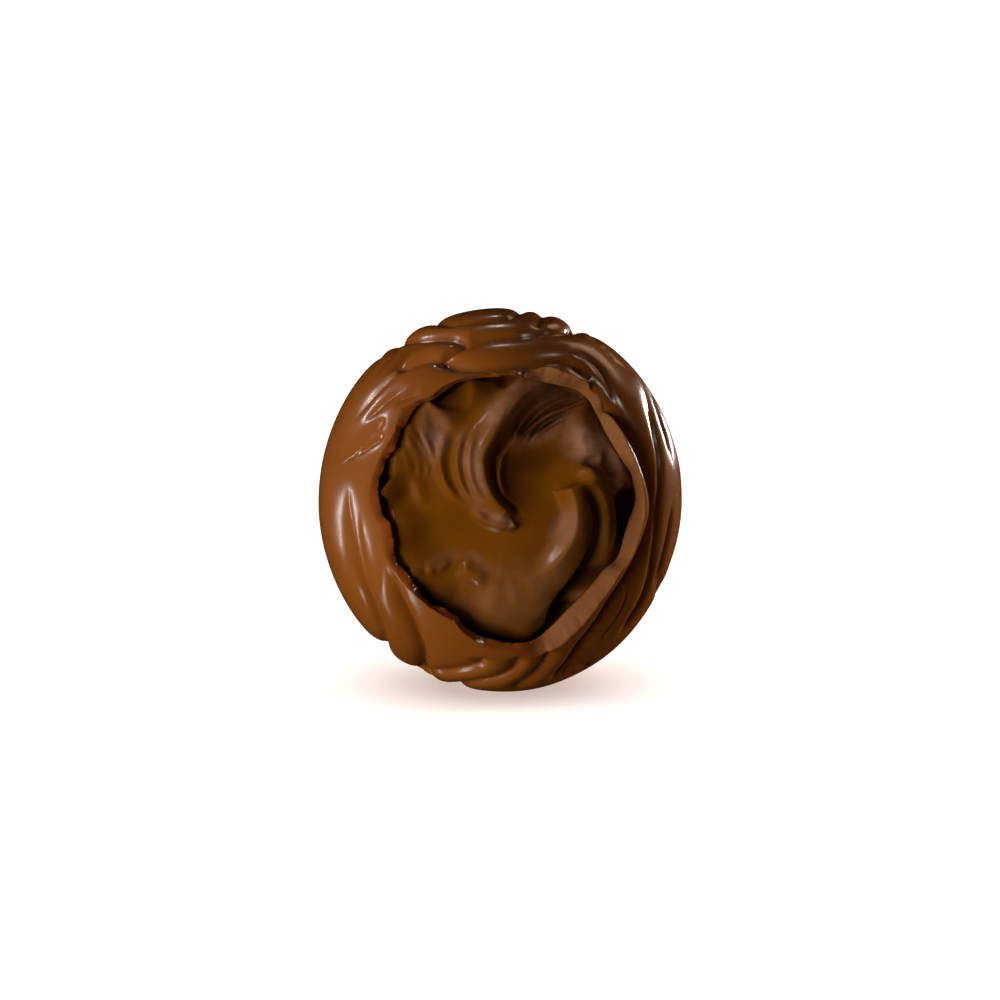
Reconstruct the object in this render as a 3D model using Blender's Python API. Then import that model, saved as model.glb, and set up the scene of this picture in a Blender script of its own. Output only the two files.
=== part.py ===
"""A filled chocolate truffle: a ribbed ball shell with a coiled crown, broken open over its soft filling.

Run with: blender --background --python part.py
Metres, +Z up. The ball rests on the floor at z = 0, and its broken side faces -Y. The origin lies on the floor
under the middle of its box, so the ball's centre is CENTRE_FORWARD in front of it.
Depths and widths are millimetres. Places in the tables are (x, y) in a view from the front, VIEW_TILT above the
floor and VIEW_DISTANCE from the ball, in thousandths of its width of VIEW_WIDTH at the ball: x runs right and y
runs down.
"""

import math

import bmesh
import bpy
import numpy as np

MM = 0.001

# Driving dimensions, in millimetres
BALL_WIDTH = 27.0
BALL_HEIGHT = 28.6
FLAT_CUT = 0.50
CENTRE_FORWARD = 0.80
WALL = 1.40
FIT_GAP = 0.30

HALF_WIDTH = BALL_WIDTH / 2
HALF_HEIGHT = BALL_HEIGHT / 2

# The view that the tables' places are given in
VIEW_WIDTH = 73.96
VIEW_DISTANCE = 330.0
VIEW_CENTRE = (500.0, 500.5)
VIEW_TILT = math.radians(10.0)

# Grooves between the crown's coils: depth, flank on the left of its course, flank on the right, fades, course
CROWN_GROOVES = {
    "cap": (0.60, 0.45, 0.5, (0.0, 0.0), (
        (429, 318), (435.8, 319.6), (449, 322), (464, 320.5), (480, 318.3), (500, 316.8), (512, 315),
        (518.6, 311),
        (523, 305))),
    "first_coil": (0.95, 0.50, 0.55, (0.0, 0.0), (
        (391, 338), (398.7, 339.7), (412, 336.5), (426, 334.5), (438, 333.7), (449, 334.5), (456, 337),
        (466.5, 340),
        (479, 336.8), (492, 335), (506, 334), (521, 333.6), (534, 331.2), (546, 328.7), (559, 328.2),
        (574, 326),
        (583, 320))),
    "coil_end": (0.55, 0.4, 0.5, (0.0, 0.2), (
        (546, 308), (544, 312.8), (541.5, 318), (538.5, 324), (533, 330))),
    "second_tip": (0.75, 0.45, 0.35, (0.0, 0.0), (
        (466.5, 340), (457, 346), (447, 351.3), (442.5, 355), (441, 358.5))),
    "second_coil": (1.05, 0.60, 0.45, (0.0, 0.25), (
        (441, 358.5), (449, 362.8), (460, 365.5), (477, 366.6), (490, 366.6), (503, 365.4), (520, 363),
        (540, 360.6),
        (553, 359), (564, 358.8), (573, 362), (581, 369), (590, 379), (600, 393))),
    "petal": (0.70, 0.5, 0.35, (0.08, 0.0), (
        (396, 371), (402, 367.5), (414, 361.8), (423, 358.8), (433, 357.4), (441, 358.5))),
    "petal_side": (0.42, 0.5, 0.6, (0.05, 0.1), (
        (396, 371), (398, 363), (403, 354.5), (409, 347.5), (417, 341), (429, 335.5))),
    "left_lobe": (0.55, 0.55, 0.6, (0.0, 0.6), (
        (396, 337), (397, 344), (395, 351), (390.5, 357), (383, 365), (373, 377), (362, 393))),
    "outer_lobe": (0.32, 0.6, 0.6, (0.0, 0.6), (
        (383, 348), (379.7, 355.1), (373, 365), (364, 378), (355, 393))),
    "right_blend": (0.32, 0.5, 0.6, (0.2, 0.4), (
        (561, 350), (575, 353.5), (587, 357.5), (596, 364), (602, 371), (608, 381), (616, 395),
        (625, 411), (633, 430))),
    "right_edge": (0.50, 0.35, 0.5, (0.25, 0.3), (
        (588, 328), (597, 339), (606, 348), (612, 354.5), (617, 360.5), (624, 366.5), (632, 374),
        (640, 384))),
}

# Grooves between the ribs that the view shows, in the same form
RIB_GROOVES = {
    "main": (0.95, 0.55, 0.9, (0.08, 0.1), (
        (583, 371), (592, 382.5), (600, 396), (612, 409), (625, 428), (637, 449), (645, 470),
        (650.5, 487), (653, 502),
        (652.5, 518), (648, 534), (641, 552), (631, 572), (622, 584), (614, 594), (607, 608), (598, 622),
        (588, 635),
        (581, 647), (577, 656.5), (569, 667), (561, 677), (550, 685))),
    "left_lens_top": (0.52, 0.38, 0.50, (0.3, 0.45), (
        (389, 419), (379, 426), (369, 432.5), (361, 440.5), (353, 450), (345, 459), (336, 469))),
    "left_lens_foot": (0.34, 0.28, 0.34, (0.25, 0.4), (
        (386, 436.5), (376, 441), (367, 446), (358, 453), (350, 460))),
    "left_upper": (0.26, 0.60, 0.70, (0.4, 0.4), (
        (414, 385), (399, 393), (385, 402), (371, 415), (358, 431))),
    "left_highest": (0.20, 0.60, 0.70, (0.4, 0.4), (
        (404, 371), (392, 379), (378, 391), (364, 407), (352, 425))),
    "left_limb": (0.50, 0.50, 0.55, (0.3, 0.0), (
        (349, 478), (347, 505), (348, 530), (352, 555), (358, 578), (366, 598), (373, 616), (378, 630),
        (380.2, 646.4))),
    "left_inner": (0.20, 0.60, 0.60, (0.4, 0.4), (
        (361, 505), (361, 530), (364, 552), (370, 574), (378, 594), (387, 612))),
    "lower_left": (0.62, 0.45, 0.60, (0.3, 0.0), (
        (382, 560), (390, 579), (395, 592), (397.5, 603), (402, 614), (410, 630), (418, 649), (421, 663),
        (420, 674))),
    "first_comma": (0.55, 0.35, 0.50, (0.08, 0.0), (
        (483, 659), (482.5, 665), (478, 670), (468, 673), (455, 674.5), (440, 675), (428, 674),
        (419.5, 674))),
    "second_comma": (0.62, 0.35, 0.50, (0.1, 0.0), (
        (517.5, 657), (519, 664), (516.5, 671), (511, 677), (503, 681.5), (493, 685), (478, 688.5),
        (463.8, 690))),
    "third_comma": (0.62, 0.35, 0.50, (0.1, 0.2), (
        (549, 653), (549, 660), (545.5, 667), (540, 674), (533, 681), (524, 687), (513, 692))),
    "right_foot": (0.55, 0.40, 0.50, (0.0, 0.2), (
        (594.2, 666), (585, 670), (577, 672.5), (570, 676), (562, 682))),
    "first_right": (0.46, 0.40, 0.50, (0.12, 0.1), (
        (632, 369), (639, 379), (647, 396), (653, 418), (658, 439), (661.5, 456), (663, 475), (663, 495),
        (661.5, 517),
        (658, 539), (653, 561), (646, 583), (637, 602), (625, 620), (611, 638), (599, 651))),
    "second_right": (0.42, 0.30, 0.35, (0.15, 0.5), (
        (640, 378), (649, 389), (656.5, 404), (662.5, 421), (668, 438), (672, 456), (674.5, 476))),
    "lower_right": (0.42, 0.35, 0.40, (0.25, 0.1), (
        (674.5, 488), (673.5, 509), (671, 531), (666, 553), (659, 575), (650, 593), (639, 611),
        (626, 629), (612, 646))),
    "inner_right": (0.38, 0.35, 0.45, (0.3, 0.1), (
        (654, 508), (652.5, 530), (649, 553), (641, 581), (631, 600), (618, 618), (605, 633), (592, 647))),
}

# Ribs out of view, even and a little twisted: each groove's bearing from the front, in degrees to the right
BACK_BEARINGS = (84, 98, 112, 127, 143, 160, 178, 195, 212, 229, 246, 262)
BACK_DEPTH = 0.52
BACK_FLANK = 0.60
BACK_TOP = 43.0
LEFT_BACK_TOP = 78.0
BACK_FOOT = 163.0
BACK_TWIST = 26.0

# Solids hold a groove no narrower and no sharper than this
NARROWEST_FLANK = 0.60
GROOVE_SOFTNESS = 0.30
GROOVE_JOINING = 3.0
FOOT_SMOOTH = (0.22, 0.46)

# Where the outer skin ends and where the inner wall ends, clockwise in the view's x and y from the right
OUTER_EDGE = (
    (649, 500), (648, 485), (643, 471), (634, 448), (623, 428), (610, 410), (597, 395), (583, 383),
        (567, 375),
    (549, 369), (531, 368), (514, 372), (499, 375), (480, 377), (461, 381), (444, 388), (431, 398),
        (415, 403),
    (403, 408), (397, 421), (392, 437), (382, 453), (374, 470), (368, 486), (366, 503), (371, 520),
        (378, 537),
    (383, 556), (394, 574), (407, 589), (422, 603), (437, 614), (452, 623), (464, 635), (480, 646),
        (497, 653),
    (516, 657), (535, 659), (551, 653), (566, 644), (582, 628), (598, 609), (612, 590), (620, 575),
        (632, 561),
    (637, 546), (643, 532), (648, 517),
)
INNER_EDGE = (
    (635, 499), (634, 487), (630, 473), (619, 457), (606, 435), (597, 417), (588, 401), (576, 391),
        (559, 387),
    (543, 383), (528, 379), (511, 377), (495, 378.5), (478, 380), (458, 384.5), (445, 393), (434, 401),
        (421, 405),
    (412, 415), (405, 428), (398, 442), (389, 458), (384, 470), (380, 482), (378, 493), (380, 505),
        (384, 517),
    (391, 527), (393, 541), (395, 557), (403, 570), (412, 582), (421, 595), (434, 607), (446, 613),
        (457, 618),
    (463, 627), (473, 634), (485, 640), (500, 643), (516, 645), (531, 643), (545, 634), (557, 622),
        (570, 609),
    (584, 595), (596, 581), (605, 570), (615, 562), (621, 549), (624, 537), (629, 522), (633, 510),
)
EDGE_DEPTH = 0.3

# Filling: its base level under the wall, and how far it runs on behind the shell's edge, in degrees
FILLING_LEVEL = 0.62
FILLING_DISH = 0.55
FILLING_DISH_RADIUS = 8.0
HIGHEST_FILLING = 0.05
LIP_COVER = 8.0

# Each ridge of the filling is height, reach on the left of its course, reach on the right, fades, course
RIDGES = {
    "lower_arm": (1.25, 0.75, 3.0, (0.06, 0.3), (
        (561, 487), (556, 500), (556, 526), (549, 545), (534, 561), (512, 571), (488, 572), (468, 565))),
    "upper_arm": (1.15, 1.25, 0.62, (0.1, 0.15), (
        (535, 385), (520, 396), (505, 408), (491, 424), (480, 441), (474, 458), (473, 473), (477, 487),
        (486, 500),
        (499, 511), (515, 520))),
    "inner_fold": (0.42, 0.5, 0.45, (0.3, 0.3), (
        (471, 430), (461, 446), (457, 462), (460, 480), (468, 497), (479, 509))),
    "outer_fold": (0.38, 0.5, 0.45, (0.3, 0.3), ((456, 434), (447, 450), (443, 466), (447, 483), (457, 499))),
    "side_fold": (0.95, 0.5, 0.6, (0.15, 0.4), (
        (571, 455), (580, 470), (586, 486), (589, 503), (589, 523), (583, 545))),
    "head": (0.55, 1.1, 1.3, (0.2, 0.2), ((558, 432), (577, 436), (597, 446), (613, 462), (619, 478))),
    "dome": (0.60, 2.6, 2.2, (0.3, 0.3), ((548, 588), (525, 597), (500, 600), (472, 592))),
}

# Each hollow is depth, half length, half width, bearing of its length in degrees, centre
HOLLOWS = {
    "basin": (0.75, 3.1, 2.3, 60.0, (538, 470)),
    "valley": (0.40, 3.4, 1.9, 10.0, (462, 528)),
    "torn_strands": (1.05, 2.9, 0.95, 27.0, (541, 417)),
    "torn_top": (0.65, 1.0, 0.65, 45.0, (510, 391)),
    "upper_left": (1.05, 1.25, 0.85, 20.0, (455, 408)),
    "left_pocket": (1.75, 2.3, 1.25, 82.0, (397, 500)),
    "left_upper": (1.20, 1.6, 0.55, 65.0, (399, 455)),
    "lower_left": (2.00, 1.25, 0.85, -42.0, (432, 595)),
    "bottom_slit": (1.90, 2.5, 0.62, -16.0, (487, 621)),
    "bottom_right": (2.30, 2.1, 0.75, 40.0, (545, 615)),
    "side_slit": (0.90, 1.9, 0.35, 46.0, (585, 577)),
    "right_pocket": (1.70, 2.2, 0.85, 96.0, (617, 520)),
}

# Mesh density
COLUMNS = 100
OUTER_RINGS = 46
BREAK_RINGS = 2
INNER_RINGS = 7
FILLING_COLUMNS = 60
FRONT_RINGS = 21
BACK_RINGS = 6

RIGHT = np.array((1.0, 0.0, 0.0))
UP = np.array((0.0, math.sin(VIEW_TILT), math.cos(VIEW_TILT)))
OUT = np.array((0.0, -math.cos(VIEW_TILT), math.sin(VIEW_TILT)))
BALL_SCALE = np.array((HALF_WIDTH, HALF_WIDTH, HALF_HEIGHT))
BALL_CENTRE = np.array((0.0, -CENTRE_FORWARD, HALF_HEIGHT - FLAT_CUT))


def smoothstep(low, high, x):
    """0 below low, 1 above high, and smooth between."""
    t = np.clip((x - low) / (high - low), 0.0, 1.0)
    return t * t * (3 - 2 * t)


def view_millimetres(places):
    """Places in the view as millimetres right of and above its centre, at the ball's distance."""
    return (np.array(places, float) - VIEW_CENTRE) * (1, -1) * VIEW_WIDTH / 1000


def face_direction(roll, angle):
    """Unit directions at an angle from the view's axis, turned by roll from the right."""
    side = np.cos(roll)[..., None] * RIGHT + np.sin(roll)[..., None] * UP
    return np.cos(angle)[..., None] * OUT + np.sin(angle)[..., None] * side


def seen_direction(places, depth=0.0):
    """Unit directions of the places that the view shows, at a depth under the smooth ball.

    A place outside the ball counts as just behind its limb.
    """
    share = 1 - depth / HALF_WIDTH
    offsets = view_millimetres(places) / (HALF_WIDTH * share, HALF_HEIGHT * share)
    wide = np.hypot(offsets[:, 0], offsets[:, 1])
    reach = np.minimum(wide, 1.0)
    for _ in range(3):
        reach = np.minimum(wide * (1 - HALF_WIDTH * share * np.sqrt(1 - reach**2) / VIEW_DISTANCE), 1.0)
    behind = math.pi - np.arcsin(np.clip(2 - wide, 0.0, 1.0))
    roll = np.arctan2(offsets[:, 1], offsets[:, 0])
    return face_direction(roll, np.where(wide > 1, behind, np.arcsin(reach)))


def smooth_path(points, spacing):
    """A Catmull-Rom curve through the points, sampled about evenly."""
    ends = np.vstack([2 * points[0] - points[1], points, 2 * points[-1] - points[-2]])
    samples = []
    for a, b, c, d in zip(ends, ends[1:], ends[2:], ends[3:]):
        count = max(2, int(np.linalg.norm(c - b) / spacing) + 1)
        t = (np.arange(count) / count)[:, None]
        curve = 2 * b + (c - a) * t + (2 * a - 5 * b + 4 * c - d) * t**2 + (3 * b - a - 3 * c + d) * t**3
        samples.append(0.5 * curve)
    samples.append(points[-1:])
    return np.vstack(samples)


def edge_angle(edge, depth, roll):
    """Angle from the view's axis of a closed edge at a depth, for each roll."""
    path = smooth_path(np.array(edge[-2:] + edge + edge[:2], float), 2.0)
    directions = seen_direction(path, depth)
    angles = np.arccos(np.clip(directions @ OUT, -1.0, 1.0))
    rolls = np.arctan2(directions @ UP, directions @ RIGHT)
    order = np.argsort(rolls)
    return np.interp(roll, rolls[order], angles[order], period=2 * math.pi)


def toward(polar, bearing):
    """Unit directions from degrees from the top and degrees round from the front."""
    polar, bearing = np.radians(polar), np.radians(bearing)
    return np.stack([np.sin(polar) * np.sin(bearing), -np.sin(polar) * np.cos(bearing), np.cos(polar)], axis=-1)


def polar_bearing(direction):
    """Degrees from the top and degrees round from the front of one direction."""
    bearing = math.degrees(math.atan2(direction[0], -direction[1]))
    return math.degrees(math.acos(direction[2])), bearing


def hidden_grooves():
    """Grooves out of view, each as depth, flanks, fades and path: the coils behind the top, and the even ribs."""
    found = []
    ends = {name: seen_direction((row[4][0], row[4][-1])) for name, row in CROWN_GROOVES.items()}
    for start, end in (("cap", "first_coil"), ("first_coil", "outer_lobe")):
        first_polar, first_bearing = polar_bearing(ends[start][1])
        last_polar, last_bearing = polar_bearing(ends[end][0])
        polars = np.linspace(first_polar, last_polar, 60)
        bearings = np.linspace(first_bearing, last_bearing + 360, 60)
        found.append((0.5, BACK_FLANK, BACK_FLANK, (0.0, 0.0), toward(polars, bearings)))
    for bearing in BACK_BEARINGS:
        top = LEFT_BACK_TOP if bearing > 240 else BACK_TOP
        polars = np.linspace(top, BACK_FOOT, 70)
        lean = -BACK_TWIST * np.exp(-(polars - 40.0) / 9.0)
        lean = lean + 0.5 * BACK_TWIST * smoothstep(125.0, 165.0, polars)
        found.append((BACK_DEPTH, BACK_FLANK, BACK_FLANK, (0.12, 0.12), toward(polars, bearing + lean)))
    return found


def all_grooves():
    """Every groove of the shell, with its path as unit directions."""
    found = hidden_grooves()
    for depth, left, right, fades, course in (*CROWN_GROOVES.values(), *RIB_GROOVES.values()):
        path = smooth_path(seen_direction(course), 0.022)
        path = path / np.linalg.norm(path, axis=1)[:, None]
        found.append((depth, max(left, NARROWEST_FLANK), max(right, NARROWEST_FLANK), fades, path))
    return found


def groove_depth(direction, depth, left, right, fades, path):
    """Depth that one groove cuts at each direction, in millimetres."""
    nearest = np.argmax(direction @ path.T, axis=1)
    step = np.gradient(path, axis=0)
    step = step / np.linalg.norm(step, axis=1)[:, None]
    gap = direction - path[nearest]
    across = np.einsum("ij,ij->i", gap, np.cross(step, path)[nearest]) * HALF_WIDTH
    beyond = np.einsum("ij,ij->i", gap, step[nearest]) * HALF_WIDTH
    beyond = np.where((nearest == 0) | (nearest == len(path) - 1), beyond, 0.0)
    distance = np.sqrt(across**2 + beyond**2 + GROOVE_SOFTNESS**2) - GROOVE_SOFTNESS
    along = nearest / (len(path) - 1)
    fade = smoothstep(0.0, fades[0] + 1e-6, along) * smoothstep(0.0, fades[1] + 1e-6, 1 - along)
    return depth * fade * np.exp(-distance / np.where(across > 0, right, left))


def outer_relief(direction):
    """Depth of the outer surface under the smooth ball, in millimetres. It fades at the foot."""
    total = np.zeros(len(direction))
    for groove in all_grooves():
        total += groove_depth(direction, *groove) ** GROOVE_JOINING
    from_foot = np.where(direction[:, 2] < 0, np.hypot(direction[:, 0], direction[:, 1]), 1.0)
    return total ** (1 / GROOVE_JOINING) * smoothstep(*FOOT_SMOOTH, from_foot)


def view_place(direction, depth):
    """Where the view shows a direction's point at a depth, as millimetres right of and above the centre."""
    share = 1 - depth / HALF_WIDTH
    near = share / (1 - HALF_WIDTH * share * (direction @ OUT) / VIEW_DISTANCE)
    return HALF_WIDTH * (direction @ RIGHT) * near, HALF_HEIGHT * (direction @ UP) * near


def ridge_height(u, v, height, left, right, fades, course):
    """Height that one ridge of the filling adds at each place."""
    path = smooth_path(view_millimetres(course), 0.2)
    place = np.stack([u, v], axis=-1)
    nearest = np.argmin(((place[:, None] - path[None]) ** 2).sum(axis=2), axis=1)
    step = np.gradient(path, axis=0)
    step = step / np.linalg.norm(step, axis=1)[:, None]
    gap = place - path[nearest]
    tangent = step[nearest]
    across = gap[:, 0] * tangent[:, 1] - gap[:, 1] * tangent[:, 0]
    beyond = (gap * tangent).sum(axis=1)
    beyond = np.where((nearest == 0) | (nearest == len(path) - 1), beyond, 0.0)
    along = nearest / (len(path) - 1)
    fade = smoothstep(0.0, fades[0] + 1e-6, along) * smoothstep(0.0, fades[1] + 1e-6, 1 - along)
    reach = np.where(across > 0, right, left)
    return height * (0.12 + 0.88 * fade) * np.exp(-((across / reach) ** 2) - (beyond / min(left, right)) ** 2)


def hollow_depth(u, v, depth, half_length, half_width, bearing, centre):
    """A rounded hollow with an elliptic outline."""
    turn = math.radians(bearing)
    centre_u, centre_v = view_millimetres((centre,))[0]
    du, dv = u - centre_u, v - centre_v
    along = (du * math.cos(turn) + dv * math.sin(turn)) / half_length
    across = (dv * math.cos(turn) - du * math.sin(turn)) / half_width
    return depth * np.exp(-((along**2 + across**2) ** 1.5))


def filling_relief(direction):
    """Depth of the filling's surface under the shell's inner wall, in millimetres."""
    u, v = view_place(direction, WALL + FILLING_LEVEL)
    depth = FILLING_LEVEL + FILLING_DISH * np.exp(-((np.hypot(u, v) / FILLING_DISH_RADIUS) ** 4))
    for ridge in RIDGES.values():
        depth = depth - ridge_height(u, v, *ridge)
    for hollow in HOLLOWS.values():
        depth = depth + hollow_depth(u, v, *hollow)
    return np.maximum(depth, HIGHEST_FILLING)


def on_ball(direction, depth):
    """Points in metres at a depth in millimetres under the smooth ball, which stands on its flat at z = 0."""
    points = direction * BALL_SCALE * (1 - depth / HALF_WIDTH)[..., None]
    return (points + BALL_CENTRE) * MM


def shell_rings():
    """The shell's rings of points, from the outer back pole round the broken edge to the inner back pole."""
    roll = np.arange(COLUMNS) * 2 * math.pi / COLUMNS
    outer = edge_angle(OUTER_EDGE, EDGE_DEPTH, roll)
    inner = edge_angle(INNER_EDGE, WALL, roll)
    rings = []
    for i in range(1, OUTER_RINGS + 1):
        direction = face_direction(roll, outer + (math.pi - outer) * (1 - i / OUTER_RINGS))
        rings.append(on_ball(direction, outer_relief(direction)))
    edge_depth = outer_relief(face_direction(roll, outer))
    for i in range(1, BREAK_RINGS + 1):
        share = i / BREAK_RINGS
        direction = face_direction(roll, outer * (1 - share) + inner * share)
        rings.append(on_ball(direction, edge_depth * (1 - share) + WALL * share))
    for i in range(1, INNER_RINGS):
        direction = face_direction(roll, inner + (math.pi - inner) * i / INNER_RINGS)
        rings.append(on_ball(direction, np.full(roll.shape, WALL)))
    return rings


def filling_rings():
    """The filling's rings of points, from the back pole to the front pole."""
    roll = np.arange(FILLING_COLUMNS) * 2 * math.pi / FILLING_COLUMNS
    join = edge_angle(INNER_EDGE, WALL, roll) + math.radians(LIP_COVER)
    rings = []
    for i in range(1, BACK_RINGS):
        direction = face_direction(roll, math.pi + (join - math.pi) * i / BACK_RINGS)
        rings.append(on_ball(direction, np.full(roll.shape, WALL + FIT_GAP)))
    for i in range(FRONT_RINGS):
        share = 1 - i / FRONT_RINGS
        direction = face_direction(roll, join * share)
        open_share = 1 - smoothstep(0.86, 1.0, np.full(roll.shape, share))
        rings.append(on_ball(direction, WALL + FIT_GAP + filling_relief(direction) * open_share))
    return rings


def stand_flat(points):
    """Cuts the ball's foot level with the floor."""
    points = np.array(points)
    points[..., 2] = np.maximum(points[..., 2], 0.0)
    return points


def ring_solid(name, first_pole, rings, last_pole):
    """A closed mesh object: rings of points bridged in order, with a fan to a pole at each end."""
    bm = bmesh.new()
    start = bm.verts.new(first_pole)
    loops = [[bm.verts.new(p) for p in ring] for ring in rings]
    end = bm.verts.new(last_pole)
    count = len(loops[0])
    for j in range(count):
        after = (j + 1) % count
        bm.faces.new((start, loops[0][j], loops[0][after]))
        bm.faces.new((end, loops[-1][after], loops[-1][j]))
        for near, far in zip(loops, loops[1:]):
            bm.faces.new((near[j], far[j], far[after], near[after]))
    bmesh.ops.recalc_face_normals(bm, faces=bm.faces)
    mesh = bpy.data.meshes.new(name)
    bm.to_mesh(mesh)
    bm.free()
    obj = bpy.data.objects.new(name, mesh)
    bpy.context.scene.collection.objects.link(obj)
    mesh.shade_smooth()
    return obj


def finish(name, colour, roughness):
    """A plain material with the part's colour."""
    material = bpy.data.materials.new(name)
    material.use_nodes = True
    shader = material.node_tree.nodes["Principled BSDF"]
    shader.inputs["Base Color"].default_value = (*colour, 1.0)
    shader.inputs["Roughness"].default_value = roughness
    shader.inputs["Metallic"].default_value = 0.0
    return material


def make_shell():
    """The moulded chocolate shell, hollow and broken open in front."""
    back = np.array([-OUT])
    outer_pole = on_ball(back, outer_relief(back))[0]
    inner_pole = on_ball(back, np.array([WALL]))[0]
    shell = ring_solid("shell", outer_pole, [stand_flat(ring) for ring in shell_rings()], inner_pole)
    shell.data.materials.append(finish("milk_chocolate", (0.19, 0.075, 0.025), 0.32))
    return shell


def make_filling():
    """The soft filling, which fills the shell and shows its stirred face in the opening."""
    back_pole = on_ball(np.array([-OUT]), np.array([WALL + FIT_GAP]))[0]
    front = np.array([OUT])
    front_pole = on_ball(front, WALL + FIT_GAP + filling_relief(front))[0]
    filling = ring_solid("filling", back_pole, filling_rings(), front_pole)
    filling.data.materials.append(finish("soft_filling", (0.13, 0.052, 0.016), 0.28))
    return filling


def main():
    for obj in list(bpy.data.objects):
        bpy.data.objects.remove(obj)
    make_shell()
    make_filling()


main()
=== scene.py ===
"""Looks of a filled chocolate truffle: a shell with a spiral crown, broken open over its stirred filling.

The shell and the filling each stand for the solid of the same name. Both are formed over the same ball: a
direction from the ball's centre is turned into a place at some depth under the smooth ball, so every groove,
fold and hollow is a depth. Depths and widths are millimetres. Places on the front are given as they lie in
the front view, in thousandths of a view VIEW_WIDTH across, x to the right and y down, with the ball's centre
at VIEW_CENTRE.
"""

import logging
import math
from dataclasses import dataclass

import bpy
import numpy as np
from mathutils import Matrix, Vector


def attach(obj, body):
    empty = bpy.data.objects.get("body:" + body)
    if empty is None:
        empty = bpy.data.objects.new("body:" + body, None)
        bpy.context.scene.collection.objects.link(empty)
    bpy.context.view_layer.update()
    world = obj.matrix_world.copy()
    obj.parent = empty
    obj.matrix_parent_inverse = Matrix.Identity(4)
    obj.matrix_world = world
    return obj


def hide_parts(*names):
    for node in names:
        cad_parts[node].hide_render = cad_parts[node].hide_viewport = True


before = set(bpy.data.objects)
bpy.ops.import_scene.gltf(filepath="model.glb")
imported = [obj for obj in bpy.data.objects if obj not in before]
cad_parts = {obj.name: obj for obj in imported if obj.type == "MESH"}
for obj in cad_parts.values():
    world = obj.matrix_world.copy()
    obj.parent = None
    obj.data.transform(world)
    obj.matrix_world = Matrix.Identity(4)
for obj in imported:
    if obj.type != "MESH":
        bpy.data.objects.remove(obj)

log = logging.getLogger("truffle")

MM = 0.001
VIEW_WIDTH = 73.96
VIEW_CENTRE = (500.0, 500.5)
VIEW_TILT = math.radians(10.0)
VIEW_DISTANCE = 330.0

Places = tuple[tuple[float, float], ...]
Colour = tuple[float, float, float]
Socket = bpy.types.NodeSocket


def smoothstep(low: float, high: float, x: np.ndarray) -> np.ndarray:
    """0 below low, 1 above high, and smooth between."""
    t = np.clip((x - low) / (high - low), 0.0, 1.0)
    return t * t * (3 - 2 * t)


def view_millimetres(places: Places) -> np.ndarray:
    """Places in the front view as millimetres right of and above its centre, at the ball's distance."""
    return (np.array(places, float) - VIEW_CENTRE) * (1, -1) * VIEW_WIDTH / 1000


def smooth_path(points: np.ndarray, spacing: float) -> np.ndarray:
    """A Catmull-Rom curve through the points, sampled about evenly.

    Args:
        points: the points to pass through, one per row.
        spacing: the distance between samples, in the points' own unit.

    Returns:
        The samples, one per row.
    """
    ends = np.vstack([2 * points[0] - points[1], points, 2 * points[-1] - points[-2]])
    samples = []
    for a, b, c, d in zip(ends, ends[1:], ends[2:], ends[3:]):
        count = max(2, int(np.linalg.norm(c - b) / spacing) + 1)
        t = (np.arange(count) / count)[:, None]
        bend = (2 * a - 5 * b + 4 * c - d) * t**2 + (3 * b - a - 3 * c + d) * t**3
        samples.append(0.5 * (2 * b + (c - a) * t + bend))
    samples.append(points[-1:])
    return np.vstack(samples)


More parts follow.
